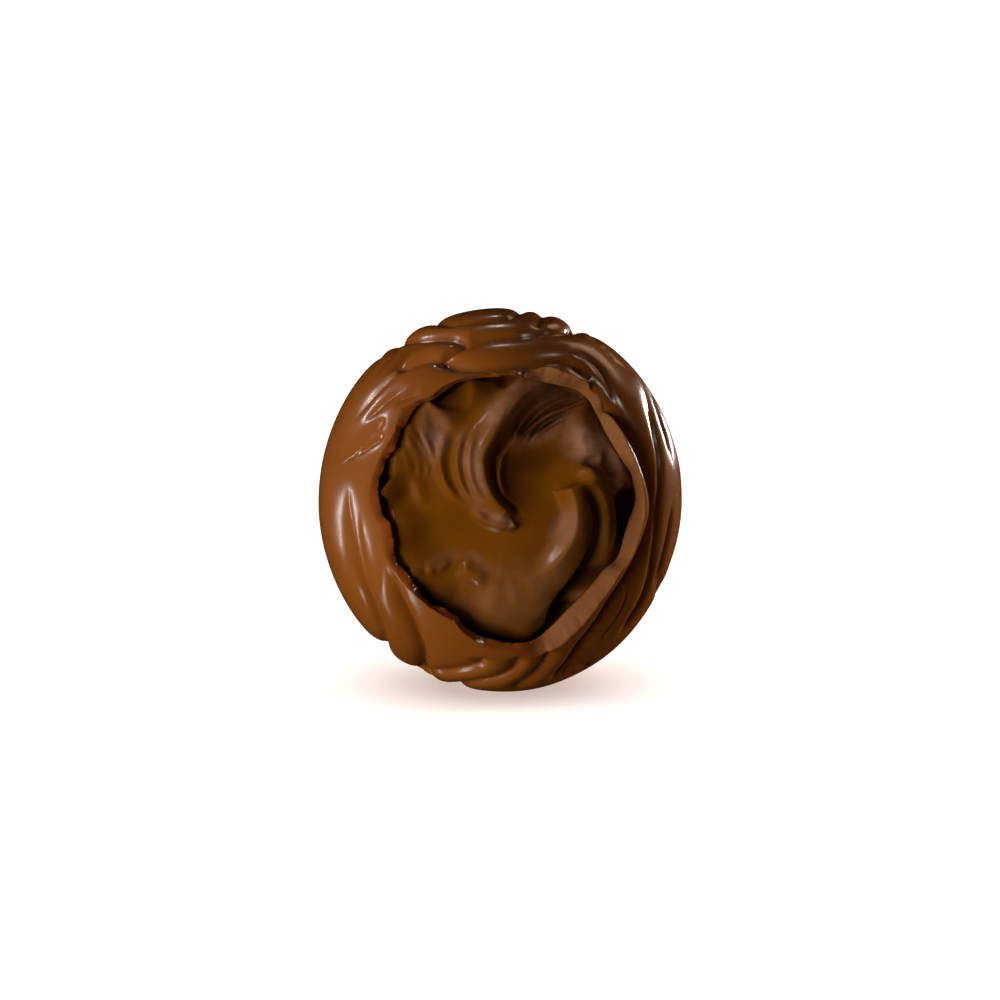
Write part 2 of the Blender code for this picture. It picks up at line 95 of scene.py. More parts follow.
@dataclass(frozen=True)
class Ball:
    """The smooth ball that the truffle is formed over, and the frame that looks at its front.

    Attributes:
        half_width: half the width, in millimetres.
        half_height: half the height, in millimetres.
        flat_cut: how much of the ball's foot the flat takes off, in millimetres.
        centre_forward: how far the ball's centre lies in front of the origin, in millimetres.
        wall: the thickness of the shell, in millimetres.
    """

    half_width: float = 13.5
    half_height: float = 14.3
    flat_cut: float = 0.50
    centre_forward: float = 0.80
    wall: float = 1.40

    @property
    def right(self) -> np.ndarray:
        """The front view's direction to the right."""
        return np.array((1.0, 0.0, 0.0))

    @property
    def up(self) -> np.ndarray:
        """The front view's direction upwards."""
        return np.array((0.0, math.sin(VIEW_TILT), math.cos(VIEW_TILT)))

    @property
    def out(self) -> np.ndarray:
        """The direction from the ball to the front view's eye."""
        return np.array((0.0, -math.cos(VIEW_TILT), math.sin(VIEW_TILT)))

    @property
    def centre(self) -> np.ndarray:
        """The ball's centre, in millimetres."""
        return np.array((0.0, -self.centre_forward, self.half_height - self.flat_cut))

    def turned(self, roll: np.ndarray, angle: np.ndarray) -> np.ndarray:
        """Unit directions at an angle from the view's axis, turned by roll from the right."""
        side = np.cos(roll)[..., None] * self.right + np.sin(roll)[..., None] * self.up
        return np.cos(angle)[..., None] * self.out + np.sin(angle)[..., None] * side

    def seen(self, places: Places, depth: float = 0.0) -> np.ndarray:
        """Unit directions of the places that the front view shows at x, y.

        Args:
            places: the places. One that lies outside the ball counts as just behind its limb.
            depth: how deep under the smooth ball they lie, in millimetres.

        Returns:
            The directions, one per row.
        """
        share = 1 - depth / self.half_width
        offsets = view_millimetres(places) / (self.half_width * share, self.half_height * share)
        wide = np.hypot(offsets[:, 0], offsets[:, 1])
        roll = np.arctan2(offsets[:, 1], offsets[:, 0])
        reach = np.minimum(wide, 1.0)
        for _ in range(3):
            height = np.sqrt(1 - reach**2)
            reach = np.minimum(wide * (1 - self.half_width * share * height / VIEW_DISTANCE), 1.0)
        behind = math.pi - np.arcsin(np.clip(2 - wide, 0.0, 1.0))
        return self.turned(roll, np.where(wide > 1, behind, np.arcsin(reach)))

    def bearing(self, direction: np.ndarray) -> np.ndarray:
        """Degrees round the upright axis from the front, positive to the right."""
        return np.degrees(np.arctan2(direction[..., 0], -direction[..., 1]))

    def polar(self, direction: np.ndarray) -> np.ndarray:
        """Degrees from the top."""
        return np.degrees(np.arccos(np.clip(direction[..., 2], -1.0, 1.0)))

    def toward(self, polar: np.ndarray, bearing: np.ndarray) -> np.ndarray:
        """Unit directions from degrees from the top and degrees round from the front."""
        polar, bearing = np.radians(polar), np.radians(bearing)
        wide = np.sin(polar)
        return np.stack([wide * np.sin(bearing), -wide * np.cos(bearing), np.cos(polar)], axis=-1)

    def flat_place(self, direction: np.ndarray, depth: float) -> tuple[np.ndarray, np.ndarray]:
        """Millimetres right of and above the centre where the front view shows a direction at a depth."""
        share = 1 - depth / self.half_width
        near = share / (1 - self.half_width * share * (direction @ self.out) / VIEW_DISTANCE)
        across = self.half_width * (direction @ self.right) * near
        return across, self.half_height * (direction @ self.up) * near

    def at_depth(self, direction: np.ndarray, depth: np.ndarray) -> np.ndarray:
        """Points in metres at a depth in millimetres under the smooth ball, standing on its flat."""
        scale = np.array((self.half_width, self.half_width, self.half_height))
        points = direction * scale * (1 - depth / self.half_width)[..., None] + self.centre
        points[..., 2] = np.maximum(points[..., 2], 0.0)
        return points * MM


@dataclass(frozen=True)
class Groove:
    """A crease in the shell, with a rounded rib on each side.

    Attributes:
        depth: depth at its deepest, in millimetres.
        left: how far its flank reaches on the left of its course, in millimetres.
        right: how far its flank reaches on the right of its course, in millimetres.
        course: the places it passes through, in the front view.
        fade: the share of its length over which each end fades in.
    """

    depth: float
    left: float
    right: float
    course: Places
    fade: tuple[float, float] = (0.1, 0.1)


def end_fade(along: np.ndarray, fade: tuple[float, float]) -> np.ndarray:
    """How far a course has faded in at each share of its length, from 0 at its ends to 1."""
    return smoothstep(0.0, fade[0] + 1e-6, along) * smoothstep(0.0, fade[1] + 1e-6, 1 - along)


def groove_depth(ball: Ball, direction: np.ndarray, path: np.ndarray, groove: Groove) -> np.ndarray:
    """Depth that one groove cuts at each direction.

    Args:
        ball: the ball that the groove lies on.
        direction: unit directions, one per row.
        path: unit directions along the groove.
        groove: its depth, flanks and fading.

    Returns:
        Depths in millimetres, one per direction.
    """
    softness = 0.07
    flanks_reached = 6
    middle = path.mean(axis=0) / np.linalg.norm(path.mean(axis=0))
    reach = math.acos(np.clip((path @ middle).min(), -1, 1))
    reach += flanks_reached * max(groove.left, groove.right) / ball.half_width
    near = direction @ middle > math.cos(min(reach, math.pi))
    depth = np.zeros(len(direction))
    some = direction[near]
    nearest = np.argmax(some.astype(np.float32) @ path.T.astype(np.float32), axis=1)
    step = np.gradient(path, axis=0)
    stride = np.linalg.norm(step, axis=1)
    step /= stride[:, None]
    across_axis = np.cross(step, path)
    gap = some - path[nearest]
    across = np.einsum("ij,ij->i", gap, across_axis[nearest]) * ball.half_width
    ahead = np.einsum("ij,ij->i", gap, step[nearest])
    beyond = np.abs(ahead) * ball.half_width
    beyond = np.where((nearest == 0) | (nearest == len(path) - 1), beyond, 0.0)
    flank = np.where(across > 0, groove.right, groove.left)
    distance = np.sqrt(across**2 + beyond**2 + softness**2) - softness
    along = (nearest + np.clip(ahead / stride[nearest], -0.5, 0.5)) / (len(path) - 1)
    depth[near] = groove.depth * end_fade(along, groove.fade) * np.exp(-distance / flank)
    return depth


@dataclass(frozen=True)
class Crown:
    """The spiral rosette on top: coils that start as petals at the left and run round the front."""

    cap: Groove = Groove(
        0.42, 0.45, 0.5,
        ((429, 318), (435.8, 319.6), (449, 322), (464, 320.5), (480, 318.3), (500, 316.8), (512, 315),
         (518.6, 311), (523, 305)),
        (0.0, 0.0),
    )
    first_coil: Groove = Groove(
        0.74, 0.50, 0.55,
        ((391, 338), (398.7, 339.7), (412, 336.5), (426, 334.5), (438, 333.7), (449, 334.5), (456, 337),
         (466.5, 340), (479, 336.8), (492, 335), (506, 334), (521, 333.6), (534, 331.2), (546, 328.7),
         (559, 328.2), (574, 326), (583, 320)),
        (0.0, 0.0),
    )
    coil_end: Groove = Groove(
        0.38, 0.4, 0.5,
        ((546, 308), (544, 312.8), (541.5, 318), (538.5, 324), (533, 330)),
        (0.0, 0.2),
    )
    second_tip: Groove = Groove(
        0.75, 0.45, 0.35,
        ((466.5, 340), (457, 346), (447, 351.3), (442.5, 355), (441, 358.5)),
        (0.0, 0.0),
    )
    second_coil: Groove = Groove(
        0.90, 0.60, 0.40,
        ((441, 358.5), (449, 362.8), (460, 365.5), (477, 366.6), (490, 366.6), (503, 365.4), (520, 363),
         (540, 360.6), (553, 359), (564, 358.8), (573, 362), (581, 369), (590, 379), (600, 393)),
        (0.0, 0.25),
    )
    petal: Groove = Groove(
        0.70, 0.5, 0.35,
        ((396, 371), (402, 367.5), (414, 361.8), (423, 358.8), (433, 357.4), (441, 358.5)),
        (0.08, 0.0),
    )
    petal_side: Groove = Groove(
        0.42, 0.5, 0.6,
        ((396, 371), (398, 363), (403, 354.5), (409, 347.5), (417, 341), (429, 335.5)),
        (0.05, 0.1),
    )
    left_lobe: Groove = Groove(
        0.34, 0.55, 0.6,
        ((396, 337), (397, 344), (395, 351), (390.5, 357), (383, 365), (373, 377), (362, 393)),
        (0.0, 0.6),
    )
    outer_lobe: Groove = Groove(
        0.24, 0.6, 0.6,
        ((383, 348), (379.7, 355.1), (373, 365), (364, 378), (355, 393)),
        (0.0, 0.6),
    )
    right_blend: Groove = Groove(
        0.32, 0.5, 0.6,
        ((561, 350), (575, 353.5), (587, 357.5), (596, 364), (602, 371), (608, 381), (616, 395), (625, 411),
         (633, 430)),
        (0.2, 0.4),
    )
    right_edge: Groove = Groove(
        0.22, 0.5, 0.6,
        ((588, 328), (597, 339), (606, 348), (612, 354.5), (617, 360.5), (624, 366.5), (632, 374),
         (640, 384)),
        (0.25, 0.3),
    )

    def grooves(self) -> list[Groove]:
        """All the crown's grooves that the front view shows."""
        return [
            self.cap, self.first_coil, self.coil_end, self.second_tip, self.second_coil, self.petal,
            self.petal_side, self.left_lobe, self.outer_lobe, self.right_blend, self.right_edge,
        ]

    def behind(self, ball: Ball) -> list[tuple[Groove, np.ndarray]]:
        """The parts of the spiral behind the top, each from a coil's right end to the next one's left end."""
        parts = []
        for start, end, depth in (
            (self.cap.course[-1], self.first_coil.course[0], 0.5),
            (self.first_coil.course[-1], self.outer_lobe.course[0], 0.45),
        ):
            first, last = ball.seen((start, end))
            bearings = np.linspace(ball.bearing(first), ball.bearing(last) + 360, 60)
            polars = np.linspace(ball.polar(first), ball.polar(last), 60)
            parts.append((Groove(depth, 0.6, 0.6, ((0, 0),), (0.0, 0.0)), ball.toward(polars, bearings)))
        return parts


@dataclass(frozen=True)
class Flutes:
    """The ribs down the sides. Those in front follow their own courses, and those behind are even."""

    main: Groove = Groove(
        1.05, 0.85, 0.42,
        ((583, 371), (593, 382), (602, 395), (615, 408), (629, 427), (641, 448), (649, 469), (654.5, 487),
         (657, 502), (656.5, 518), (652, 535), (645, 554), (635, 574), (625, 590.5), (614.5, 606),
         (602, 626), (590, 641), (582, 651), (576, 661), (568, 671), (559, 680), (549, 686)),
        (0.08, 0.1),
    )
    front: tuple[Groove, ...] = (
        Groove(
            0.52, 0.38, 0.50,
            ((389, 419), (379, 426), (369, 432.5), (361, 440.5), (353, 450), (345, 459), (336, 469)),
            (0.3, 0.45),
        ),
        Groove(
            0.34, 0.28, 0.34,
            ((386, 436.5), (376, 441), (367, 446), (358, 453), (350, 460)),
            (0.25, 0.4),
        ),
        Groove(0.26, 0.60, 0.70, ((414, 385), (399, 393), (385, 402), (371, 415), (358, 431)), (0.4, 0.4)),
        Groove(0.20, 0.40, 0.40, ((424, 394), (411, 396.5), (399, 401.5), (389, 409)), (0.4, 0.4)),
        Groove(0.20, 0.60, 0.70, ((404, 371), (392, 379), (378, 391), (364, 407), (352, 425)), (0.4, 0.4)),
        Groove(
            0.62, 0.50, 0.55,
            ((349, 478), (347, 505), (348, 530), (352, 555), (358, 578), (366, 598), (373, 616), (378, 630),
             (382, 643), (384, 654)),
            (0.3, 0.0),
        ),
        Groove(
            0.20, 0.60, 0.60,
            ((361, 505), (361, 530), (364, 552), (370, 574), (378, 594), (387, 612)),
            (0.4, 0.4),
        ),
        Groove(
            0.85, 0.45, 0.60,
            ((382, 560), (390, 579), (395, 592), (397.5, 603), (402, 614), (410, 630), (417, 648),
             (421, 663), (424, 677)),
            (0.3, 0.0),
        ),
        Groove(
            0.55, 0.35, 0.50,
            ((483, 659), (482.5, 665), (478, 670), (468, 673), (455, 675.5), (440, 677), (430, 676),
             (424, 677)),
            (0.08, 0.0),
        ),
        Groove(
            0.62, 0.35, 0.50,
            ((517.5, 657), (519, 664), (516.5, 671), (511, 677), (503, 681.5), (493, 685), (478, 687.5),
             (463, 689), (452, 690)),
            (0.1, 0.0),
        ),
        Groove(
            0.62, 0.35, 0.50,
            ((549, 653), (549, 660), (545.5, 667), (540, 674), (533, 681), (524, 687), (513, 692)),
            (0.1, 0.2),
        ),
        Groove(
            0.55, 0.40, 0.50,
            ((594.2, 666), (585, 670), (577, 672.5), (570, 676), (562, 682)),
            (0.0, 0.2),
        ),
        Groove(0.26, 0.40, 0.40, ((577, 657), (588, 657.5), (599, 655), (611, 649)), (0.1, 0.5)),
        Groove(
            0.46, 0.40, 0.50,
            ((632, 369), (639, 379), (647, 396), (653, 418), (658, 439), (661.5, 456), (663, 475),
             (663, 495), (661.5, 517), (659, 540), (656, 558), (652.5, 577), (648, 593), (641, 608),
             (630, 625), (615, 643)),
            (0.35, 0.1),
        ),
        Groove(
            0.36, 0.35, 0.40,
            ((640, 378), (649, 389), (656.5, 404), (662.5, 421), (668, 438), (672, 456), (674.5, 476)),
            (0.5, 0.4),
        ),
        Groove(
            0.42, 0.35, 0.40,
            ((674.5, 488), (674, 509), (671.5, 531), (667.5, 550), (663.5, 566), (660.5, 581), (658, 600)),
            (0.25, 0.1),
        ),
        Groove(
            0.38, 0.35, 0.45,
            ((651, 528), (647, 546), (641, 566), (634, 588), (628, 607), (618, 625), (607, 639),
             (598, 650)),
            (0.3, 0.1),
        ),
    )
    back_bearings: tuple[float, ...] = (84, 98, 112, 127, 143, 160, 178, 195, 212, 229, 246, 262)
    back_depth: float = 0.52
    back_flank: float = 0.60
    back_top: float = 43.0
    side_top: float = 78.0
    back_foot: float = 163.0
    twist: float = 26.0

    def behind(self, ball: Ball) -> list[tuple[Groove, np.ndarray]]:
        """The even ribs of the sides and back, which lean into the crown and twist a little at the foot."""
        parts = []
        for bearing in self.back_bearings:
            top = self.side_top if bearing > 240 or bearing < 115 else self.back_top
            polars = np.linspace(top, self.back_foot, 70)
            lean = 0.5 * smoothstep(125.0, 165.0, polars) - np.exp(-(polars - 40.0) / 9.0)
            lean = self.twist * lean
            groove = Groove(self.back_depth, self.back_flank, self.back_flank, ((0, 0),), (0.12, 0.12))
            parts.append((groove, ball.toward(polars, bearing + lean)))
        return parts


@dataclass(frozen=True)
class Opening:
    """The broken opening: where the outer skin ends, and where the inner wall ends."""

    outer: Places = (
        (645, 500), (643, 485), (638, 471), (629, 448), (618, 428), (606, 410), (595, 395), (582, 383),
        (567, 375), (549, 369), (531, 368), (514, 372), (499, 375), (480, 377), (461, 381), (444, 388),
        (431, 398), (415, 403), (403, 408), (397, 421), (392, 437), (382, 453), (374, 470), (368, 486),
        (366, 503), (371, 520), (378, 537), (383, 556), (394, 574), (407, 589), (422, 603), (437, 614),
        (452, 623), (464, 635), (480, 646), (497, 653), (516, 657), (535, 659), (551, 653), (566, 644),
        (582, 628), (598, 609), (612, 590), (620, 575), (632, 561), (637, 546), (642, 532), (645, 517),
    )
    inner: Places = (
        (635, 499), (634, 487), (630, 473), (619, 457), (606, 435), (597, 417), (588, 401), (576, 391),
        (559, 387), (543, 383), (528, 379), (511, 377), (495, 378.5), (478, 380), (458, 384.5), (445, 393),
        (434, 401), (421, 405), (412, 415), (405, 428), (398, 442), (389, 458), (384, 470), (380, 482),
        (378, 493), (380, 505), (384, 517), (391, 527), (393, 541), (395, 557), (403, 570), (412, 582),
        (421, 595), (434, 607), (446, 613), (457, 618), (463, 627), (473, 634), (485, 640), (500, 643),
        (516, 645), (531, 643), (545, 634), (557, 622), (570, 609), (584, 595), (596, 581), (605, 570),
        (615, 562), (621, 549), (624, 537), (629, 522), (633, 510),
    )
    chip: float = 0.0045
    chip_waves: tuple[int, ...] = (17, 29, 43, 61, 89, 127)
    chip_falloff: float = 0.35
    lip_depth: float = 0.62

    def reach(self, ball: Ball, places: Places, roll: np.ndarray, depth: float) -> np.ndarray:
        """Angle from the view's axis of a closed line at a depth, for each roll."""
        closed = np.array(places[-2:] + places + places[:2], float)
        path = smooth_path(closed, 2.0)
        directions = ball.seen(tuple(map(tuple, path)), depth)
        angles = np.arccos(np.clip(directions @ ball.out, -1, 1))
        rolls = np.arctan2(directions @ ball.up, directions @ ball.right)
        order = np.argsort(rolls)
        return np.interp(roll, rolls[order], angles[order], period=2 * math.pi)

    def chips(self, roll: np.ndarray, seed: int) -> np.ndarray:
        """Small uneven chips along the line, as angles."""
        rng = np.random.default_rng(seed)
        total = np.zeros(roll.shape)
        for count in self.chip_waves:
            wave = np.sin(count * roll + rng.uniform(0, 6.28)) * rng.uniform(0.5, 1.0)
            total += wave * (self.chip_waves[0] / count) ** self.chip_falloff
        envelope = 0.35 + 0.65 * np.clip(np.sin(5 * roll + 1.0) + np.sin(9 * roll + seed), 0.0, 1.0)
        return self.chip * total * envelope


@dataclass(frozen=True)
class Fold:
    """A ridge in the filling.

    Attributes:
        height: height of its crest, in millimetres.
        left: how far it falls away on the left of its course, in millimetres.
        right: how far it falls away on the right of its course, in millimetres.
        course: the places its crest passes through, in the front view.
        fade: the share of its length over which each end fades in.
    """

    height: float
    left: float
    right: float
    course: Places
    fade: tuple[float, float] = (0.15, 0.25)


@dataclass(frozen=True)
class Hollow:
    """A rounded hollow in the filling, with its place, size and turn in the front view."""

    depth: float
    place: tuple[float, float]
    half_length: float
    half_width: float
    turn: float
    steep: float = 1.6


@dataclass(frozen=True)
class FillingForm:
    """The stirred face of the filling: its level, folds, hollows, torn strands and small bumps.

    Attributes:
        level: how deep the face lies under the shell's inner wall, in millimetres.
        collar: how far it swells up to the thin lip, in millimetres.
        collar_width: how far the swelling runs on behind the lip, in degrees.
        collar_top: where the swelling starts to fall inside the lip, in degrees.
        collar_fall: where it has fallen to nothing, in degrees.
        collar_rolls: where it rises and falls round the opening, in degrees from the right.
        pocket: where it is lower, how wide that is, in degrees, and by what share.
        dish: depth of the face's middle, in millimetres.
        dish_radius: radius of the dish, in millimetres.
        lowest_cover: the least depth under the wall, in millimetres.
        thread_floor: the height above which a strand gets painted sheen, in millimetres.
        thread_sheen: how much painted sheen a strand gets for each millimetre of height.
        thread_shade: how dark the painted shade between strands is for each millimetre.
    """

    level: float = 0.25
    collar: float = 1.20
    collar_width: float = 6.0
    collar_top: float = 2.4
    collar_fall: float = 8.5
    collar_rolls: tuple[float, float, float, float] = (90.0, 110.0, 232.0, 245.0)
    pocket: tuple[float, float, float] = (233.0, 9.0, 0.40)
    dish: float = 1.75
    dish_radius: float = 8.4
    lowest_cover: float = 0.06
    folds: tuple[Fold, ...] = (
        Fold(
            1.30, 2.0, 0.42,
            ((561, 489), (565.5, 503), (567, 518), (564, 533), (555.5, 549), (544, 561.5), (530, 570),
             (512, 575)),
            (0.03, 0.45),
        ),
        Fold(
            -0.85, 0.50, 0.42,
            ((574, 489), (582, 501), (586, 518), (584, 536), (577, 555), (568, 572), (556, 587), (543, 600),
             (534, 608)),
            (0.1, 0.15),
        ),
        Fold(
            1.00, 0.65, 1.10,
            ((549, 385), (532, 398), (517, 411), (504, 426), (494, 443), (484, 462), (485, 478), (490, 492),
             (498, 505), (508, 515), (515, 520)),
            (0.1, 0.08),
        ),
        Fold(
            0.62, 0.45, 0.32,
            ((470, 509), (478, 517), (488, 524), (499, 527.5), (509, 528), (517, 524)),
            (0.3, 0.08),
        ),
        Fold(
            -0.55, 0.24, 0.30,
            ((519, 430), (506, 445), (495, 460), (493.5, 474), (496, 488), (503, 500), (513, 509),
             (521, 518)),
            (0.2, 0.15),
        ),
        Fold(
            0.38, 0.22, 0.20,
            ((506, 452), (501, 466), (499.5, 480), (502.5, 492), (509, 502)),
            (0.3, 0.3),
        ),
        Fold(
            0.42, 0.30, 0.28,
            ((480, 436), (474, 450), (471.5, 466), (473, 482), (479, 497), (488, 509)),
            (0.25, 0.3),
        ),
        Fold(
            0.42, 0.28, 0.30,
            ((469, 436), (463, 450), (460, 465), (462, 482), (469, 497), (478, 508)),
            (0.25, 0.3),
        ),
        Fold(
            0.38, 0.28, 0.32,
            ((456, 434), (449, 448), (445, 464), (447, 481), (455, 496), (465, 506)),
            (0.25, 0.3),
        ),
        Fold(0.20, 0.20, 0.22, ((440, 428), (436, 444), (437, 460), (441, 474)), (0.3, 0.4)),
        Fold(0.20, 0.20, 0.22, ((430, 424), (426, 440), (427, 456), (431, 470)), (0.3, 0.4)),
        Fold(0.30, 0.40, 0.40, ((424, 478), (426, 494), (432, 508)), (0.3, 0.4)),
        Fold(
            0.95, 0.34, 0.45,
            ((574, 470), (583, 483), (590, 499), (594.5, 516), (594, 534), (588, 550), (578, 566)),
            (0.08, 0.35),
        ),
        Fold(0.55, 1.1, 1.3, ((558, 432), (577, 436), (597, 446), (613, 462), (619, 478)), (0.2, 0.2)),
        Fold(0.50, 0.40, 0.40, ((600, 494), (606, 484), (613, 487), (618, 499)), (0.2, 0.3)),
        Fold(0.70, 2.6, 2.2, ((556, 584), (530, 596), (500, 600), (472, 592)), (0.3, 0.3)),
        Fold(0.40, 0.35, 0.60, ((464, 560), (471, 567), (480, 571), (492, 573)), (0.25, 0.35)),
        Fold(0.40, 0.40, 0.45, ((436, 563), (445, 560), (454, 565)), (0.25, 0.35)),
        Fold(0.34, 0.30, 0.40, ((419, 571), (427, 563), (436, 560)), (0.25, 0.35)),
        Fold(0.42, 0.35, 0.40, ((396, 532), (406, 538), (416, 545)), (0.2, 0.35)),
        Fold(0.40, 0.16, 0.22, ((435, 402), (437, 412), (441, 420), (449, 426)), (0.2, 0.3)),
        Fold(0.36, 0.40, 0.35, ((600, 552), (590, 564), (578, 577), (566, 590)), (0.2, 0.3)),
    )
    hollows: tuple[Hollow, ...] = (
        Hollow(0.85, (536, 470), 2.7, 2.1, 70.0, 1.6),
        Hollow(0.50, (468, 538), 3.8, 1.9, 12.0, 1.3),
        Hollow(0.75, (546, 416), 2.7, 0.95, 27.0, 2.6),
        Hollow(0.65, (510, 391), 1.0, 0.65, 45.0, 1.6),
        Hollow(0.85, (457, 411), 1.25, 0.95, 20.0, 2.4),
        Hollow(0.50, (472, 391), 1.6, 0.6, 12.0, 1.4),
        Hollow(0.30, (402, 498), 1.9, 1.05, 82.0, 2.2),
        Hollow(0.45, (402, 452), 1.9, 0.45, 62.0, 1.8),
        Hollow(0.70, (390, 524), 0.5, 0.4, 50.0, 2.0),
        Hollow(1.30, (405, 568), 1.2, 0.45, -48.0, 2.0),
        Hollow(1.60, (431, 594), 1.45, 0.95, -42.0, 2.4),
        Hollow(1.50, (490, 629), 2.9, 0.95, -12.0, 2.6),
        Hollow(1.90, (547, 615), 2.1, 0.80, 40.0, 2.0),
        Hollow(1.60, (585, 577), 1.9, 0.32, 46.0, 2.0),
        Hollow(1.90, (617, 522), 2.3, 1.05, 98.0, 2.4),
        Hollow(0.75, (573, 566), 2.6, 0.55, 55.0, 1.6),
        Hollow(0.55, (596, 470), 0.9, 0.35, 110.0, 1.6),
    )
    strand_centre: tuple[float, float] = (584, 482)
    strand_zone: Hollow = Hollow(1.0, (544, 417), 2.9, 1.15, 27.0, 3.0)
    strand_height: float = 0.28
    thread_floor: float = 0.05
    thread_sheen: float = 3.0
    thread_shade: float = 1.8
    sheen_zone: Hollow = Hollow(1.0, (588, 450), 2.4, 2.0, -30.0, 2.5)
    sheen_bumps: float = 0.22
    streak_zone: Hollow = Hollow(1.0, (430, 455), 2.0, 1.0, 75.0, 2.5)
    streak_height: float = 0.05
    pocket_zone: Hollow = Hollow(1.0, (398, 495), 2.4, 1.3, 82.0, 3.0)
    pocket_bumps: float = 0.50
    # Zones of painted shade, over the hollows, pockets and slits.
    painted_shade_zones: tuple[Hollow, ...] = (
        Hollow(0.62, (546, 420), 2.7, 0.8, 27.0, 2.4),
        Hollow(0.50, (541, 456), 2.0, 1.1, 15.0, 1.6),
        Hollow(0.50, (457, 411), 1.3, 1.0, 20.0, 2.0),
        Hollow(0.90, (431, 594), 1.4, 0.95, -42.0, 2.4),
        Hollow(0.85, (617, 524), 2.2, 1.0, 98.0, 2.4),
        Hollow(0.90, (548, 616), 2.2, 0.95, 36.0, 2.4),
        Hollow(0.75, (490, 629), 2.9, 0.90, -12.0, 2.6),
        Hollow(0.60, (391, 524), 0.8, 0.6, 50.0, 2.0),
        Hollow(0.62, (397, 496), 1.8, 0.95, 82.0, 2.0),
        Hollow(0.40, (400, 455), 1.6, 0.4, 62.0, 2.0),
        Hollow(0.90, (585, 577), 1.8, 0.34, 46.0, 2.0),
        Hollow(0.45, (582, 530), 2.6, 0.35, 95.0, 2.0),
        Hollow(0.35, (501, 462), 2.2, 0.30, 100.0, 2.0),
    )
    # Zones of painted sheen, the pinkish reflection of the soft lights.
    painted_sheen_zones: tuple[Hollow, ...] = (
        Hollow(1.00, (594, 452), 2.6, 1.2, -36.0, 2.0),
        Hollow(0.55, (545, 428), 2.4, 0.8, 25.0, 2.0),
        Hollow(0.80, (437, 440), 1.5, 0.9, 70.0, 1.6),
        Hollow(0.50, (473, 470), 2.7, 1.1, 100.0, 1.6),
        Hollow(0.60, (498, 523), 1.6, 0.5, -18.0, 1.8),
        Hollow(0.35, (476, 567), 1.3, 0.45, -25.0, 1.6),
        Hollow(0.30, (441, 562), 1.2, 0.5, 0.0, 1.8),
        Hollow(0.50, (560, 540), 2.4, 0.7, 65.0, 1.6),
        Hollow(0.65, (502, 413), 2.2, 0.9, 50.0, 1.6),
        Hollow(0.60, (614, 490), 1.0, 0.6, 100.0, 1.8),
        Hollow(0.20, (515, 592), 4.5, 2.0, 15.0, 1.6),
        Hollow(0.75, (548, 398), 2.6, 0.8, -6.0, 1.6),
    )


def hollow_mask(u: np.ndarray, v: np.ndarray, hollow: Hollow) -> np.ndarray:
    """1 in the middle of a hollow and 0 outside it."""
    turn = math.radians(hollow.turn)
    centre = view_millimetres((hollow.place,))[0]
    du, dv = u - centre[0], v - centre[1]
    along = (du * math.cos(turn) + dv * math.sin(turn)) / hollow.half_length
    across = (dv * math.cos(turn) - du * math.sin(turn)) / hollow.half_width
    return np.exp(-((along**2 + across**2) ** hollow.steep))


def fold_height(u: np.ndarray, v: np.ndarray, fold: Fold) -> np.ndarray:
    """Height that one fold adds at each place."""
    path = smooth_path(view_millimetres(fold.course), 0.12)
    place = np.stack([u, v], axis=-1)
    margin = 3 * max(fold.left, fold.right)
    near = np.all((place > path.min(axis=0) - margin) & (place < path.max(axis=0) + margin), axis=1)
    place = place[near]
    half_squares = (0.5 * (path**2).sum(axis=1)).astype(np.float32)
    closeness = place.astype(np.float32) @ path.T.astype(np.float32) - half_squares
    nearest = np.argmax(closeness, axis=1)
    step = np.gradient(path, axis=0)
    stride = np.linalg.norm(step, axis=1)
    step /= stride[:, None]
    gap = place - path[nearest]
    tangent = step[nearest]
    across = gap[:, 0] * tangent[:, 1] - gap[:, 1] * tangent[:, 0]
    ahead = (gap * tangent).sum(axis=1)
    beyond = np.abs(ahead)
    beyond = np.where((nearest == 0) | (nearest == len(path) - 1), beyond, 0.0)
    reach = np.where(across > 0, fold.right, fold.left)
    along = (nearest + np.clip(ahead / stride[nearest], -0.5, 0.5)) / (len(path) - 1)
    end_reach = min(fold.left, fold.right)
    least = 0.12
    height = np.zeros(u.shape)
    profile = np.exp(-((across / reach) ** 2) - (beyond / end_reach) ** 2)
    height[near] = fold.height * (least + (1 - least) * end_fade(along, fold.fade)) * profile
    return height


def scattered_bumps(
    u: np.ndarray, v: np.ndarray, zone: Hollow, count: int, size: float, seed: int
) -> np.ndarray:
    """Small rounded bumps of either sign inside a zone, from -1 to 1."""
    rng = np.random.default_rng(seed)
    centre = view_millimetres((zone.place,))[0]
    total = np.zeros(u.shape)
    for _ in range(count):
        place = centre + rng.normal(0.0, 0.55, 2) * (zone.half_length, zone.half_length)
        wide = size * rng.uniform(0.6, 1.4)
        long = wide * rng.uniform(1.0, 2.0)
        turn = rng.uniform(0, math.pi)
        du, dv = u - place[0], v - place[1]
        along = (du * math.cos(turn) + dv * math.sin(turn)) / long
        across = (dv * math.cos(turn) - du * math.sin(turn)) / wide
        total += rng.choice((-0.6, 1.0)) * np.exp(-(along**2) - across**2)
    return np.clip(total, -1.0, 1.0) * hollow_mask(u, v, zone)


class Noise:
    """Sums of smooth waves over the ball, for unevenness that is the same on each run."""

    def __init__(self, seed: int, scale: float, waves: int = 24) -> None:
        """Args: seed: picks the waves. scale: waves across the ball's radius. waves: how many are summed."""
        rng = np.random.default_rng(seed)
        self.vectors = rng.normal(0.0, scale, (waves, 3))
        self.phases = rng.uniform(0.0, 2 * math.pi, waves)

    def __call__(self, direction: np.ndarray) -> np.ndarray:
        """The unevenness at each direction, mostly between -1 and 1."""
        total = np.zeros(len(direction))
        for vector, phase in zip(self.vectors, self.phases):
            total += np.sin(direction @ vector + phase)
        return total / math.sqrt(len(self.phases)) * 0.8


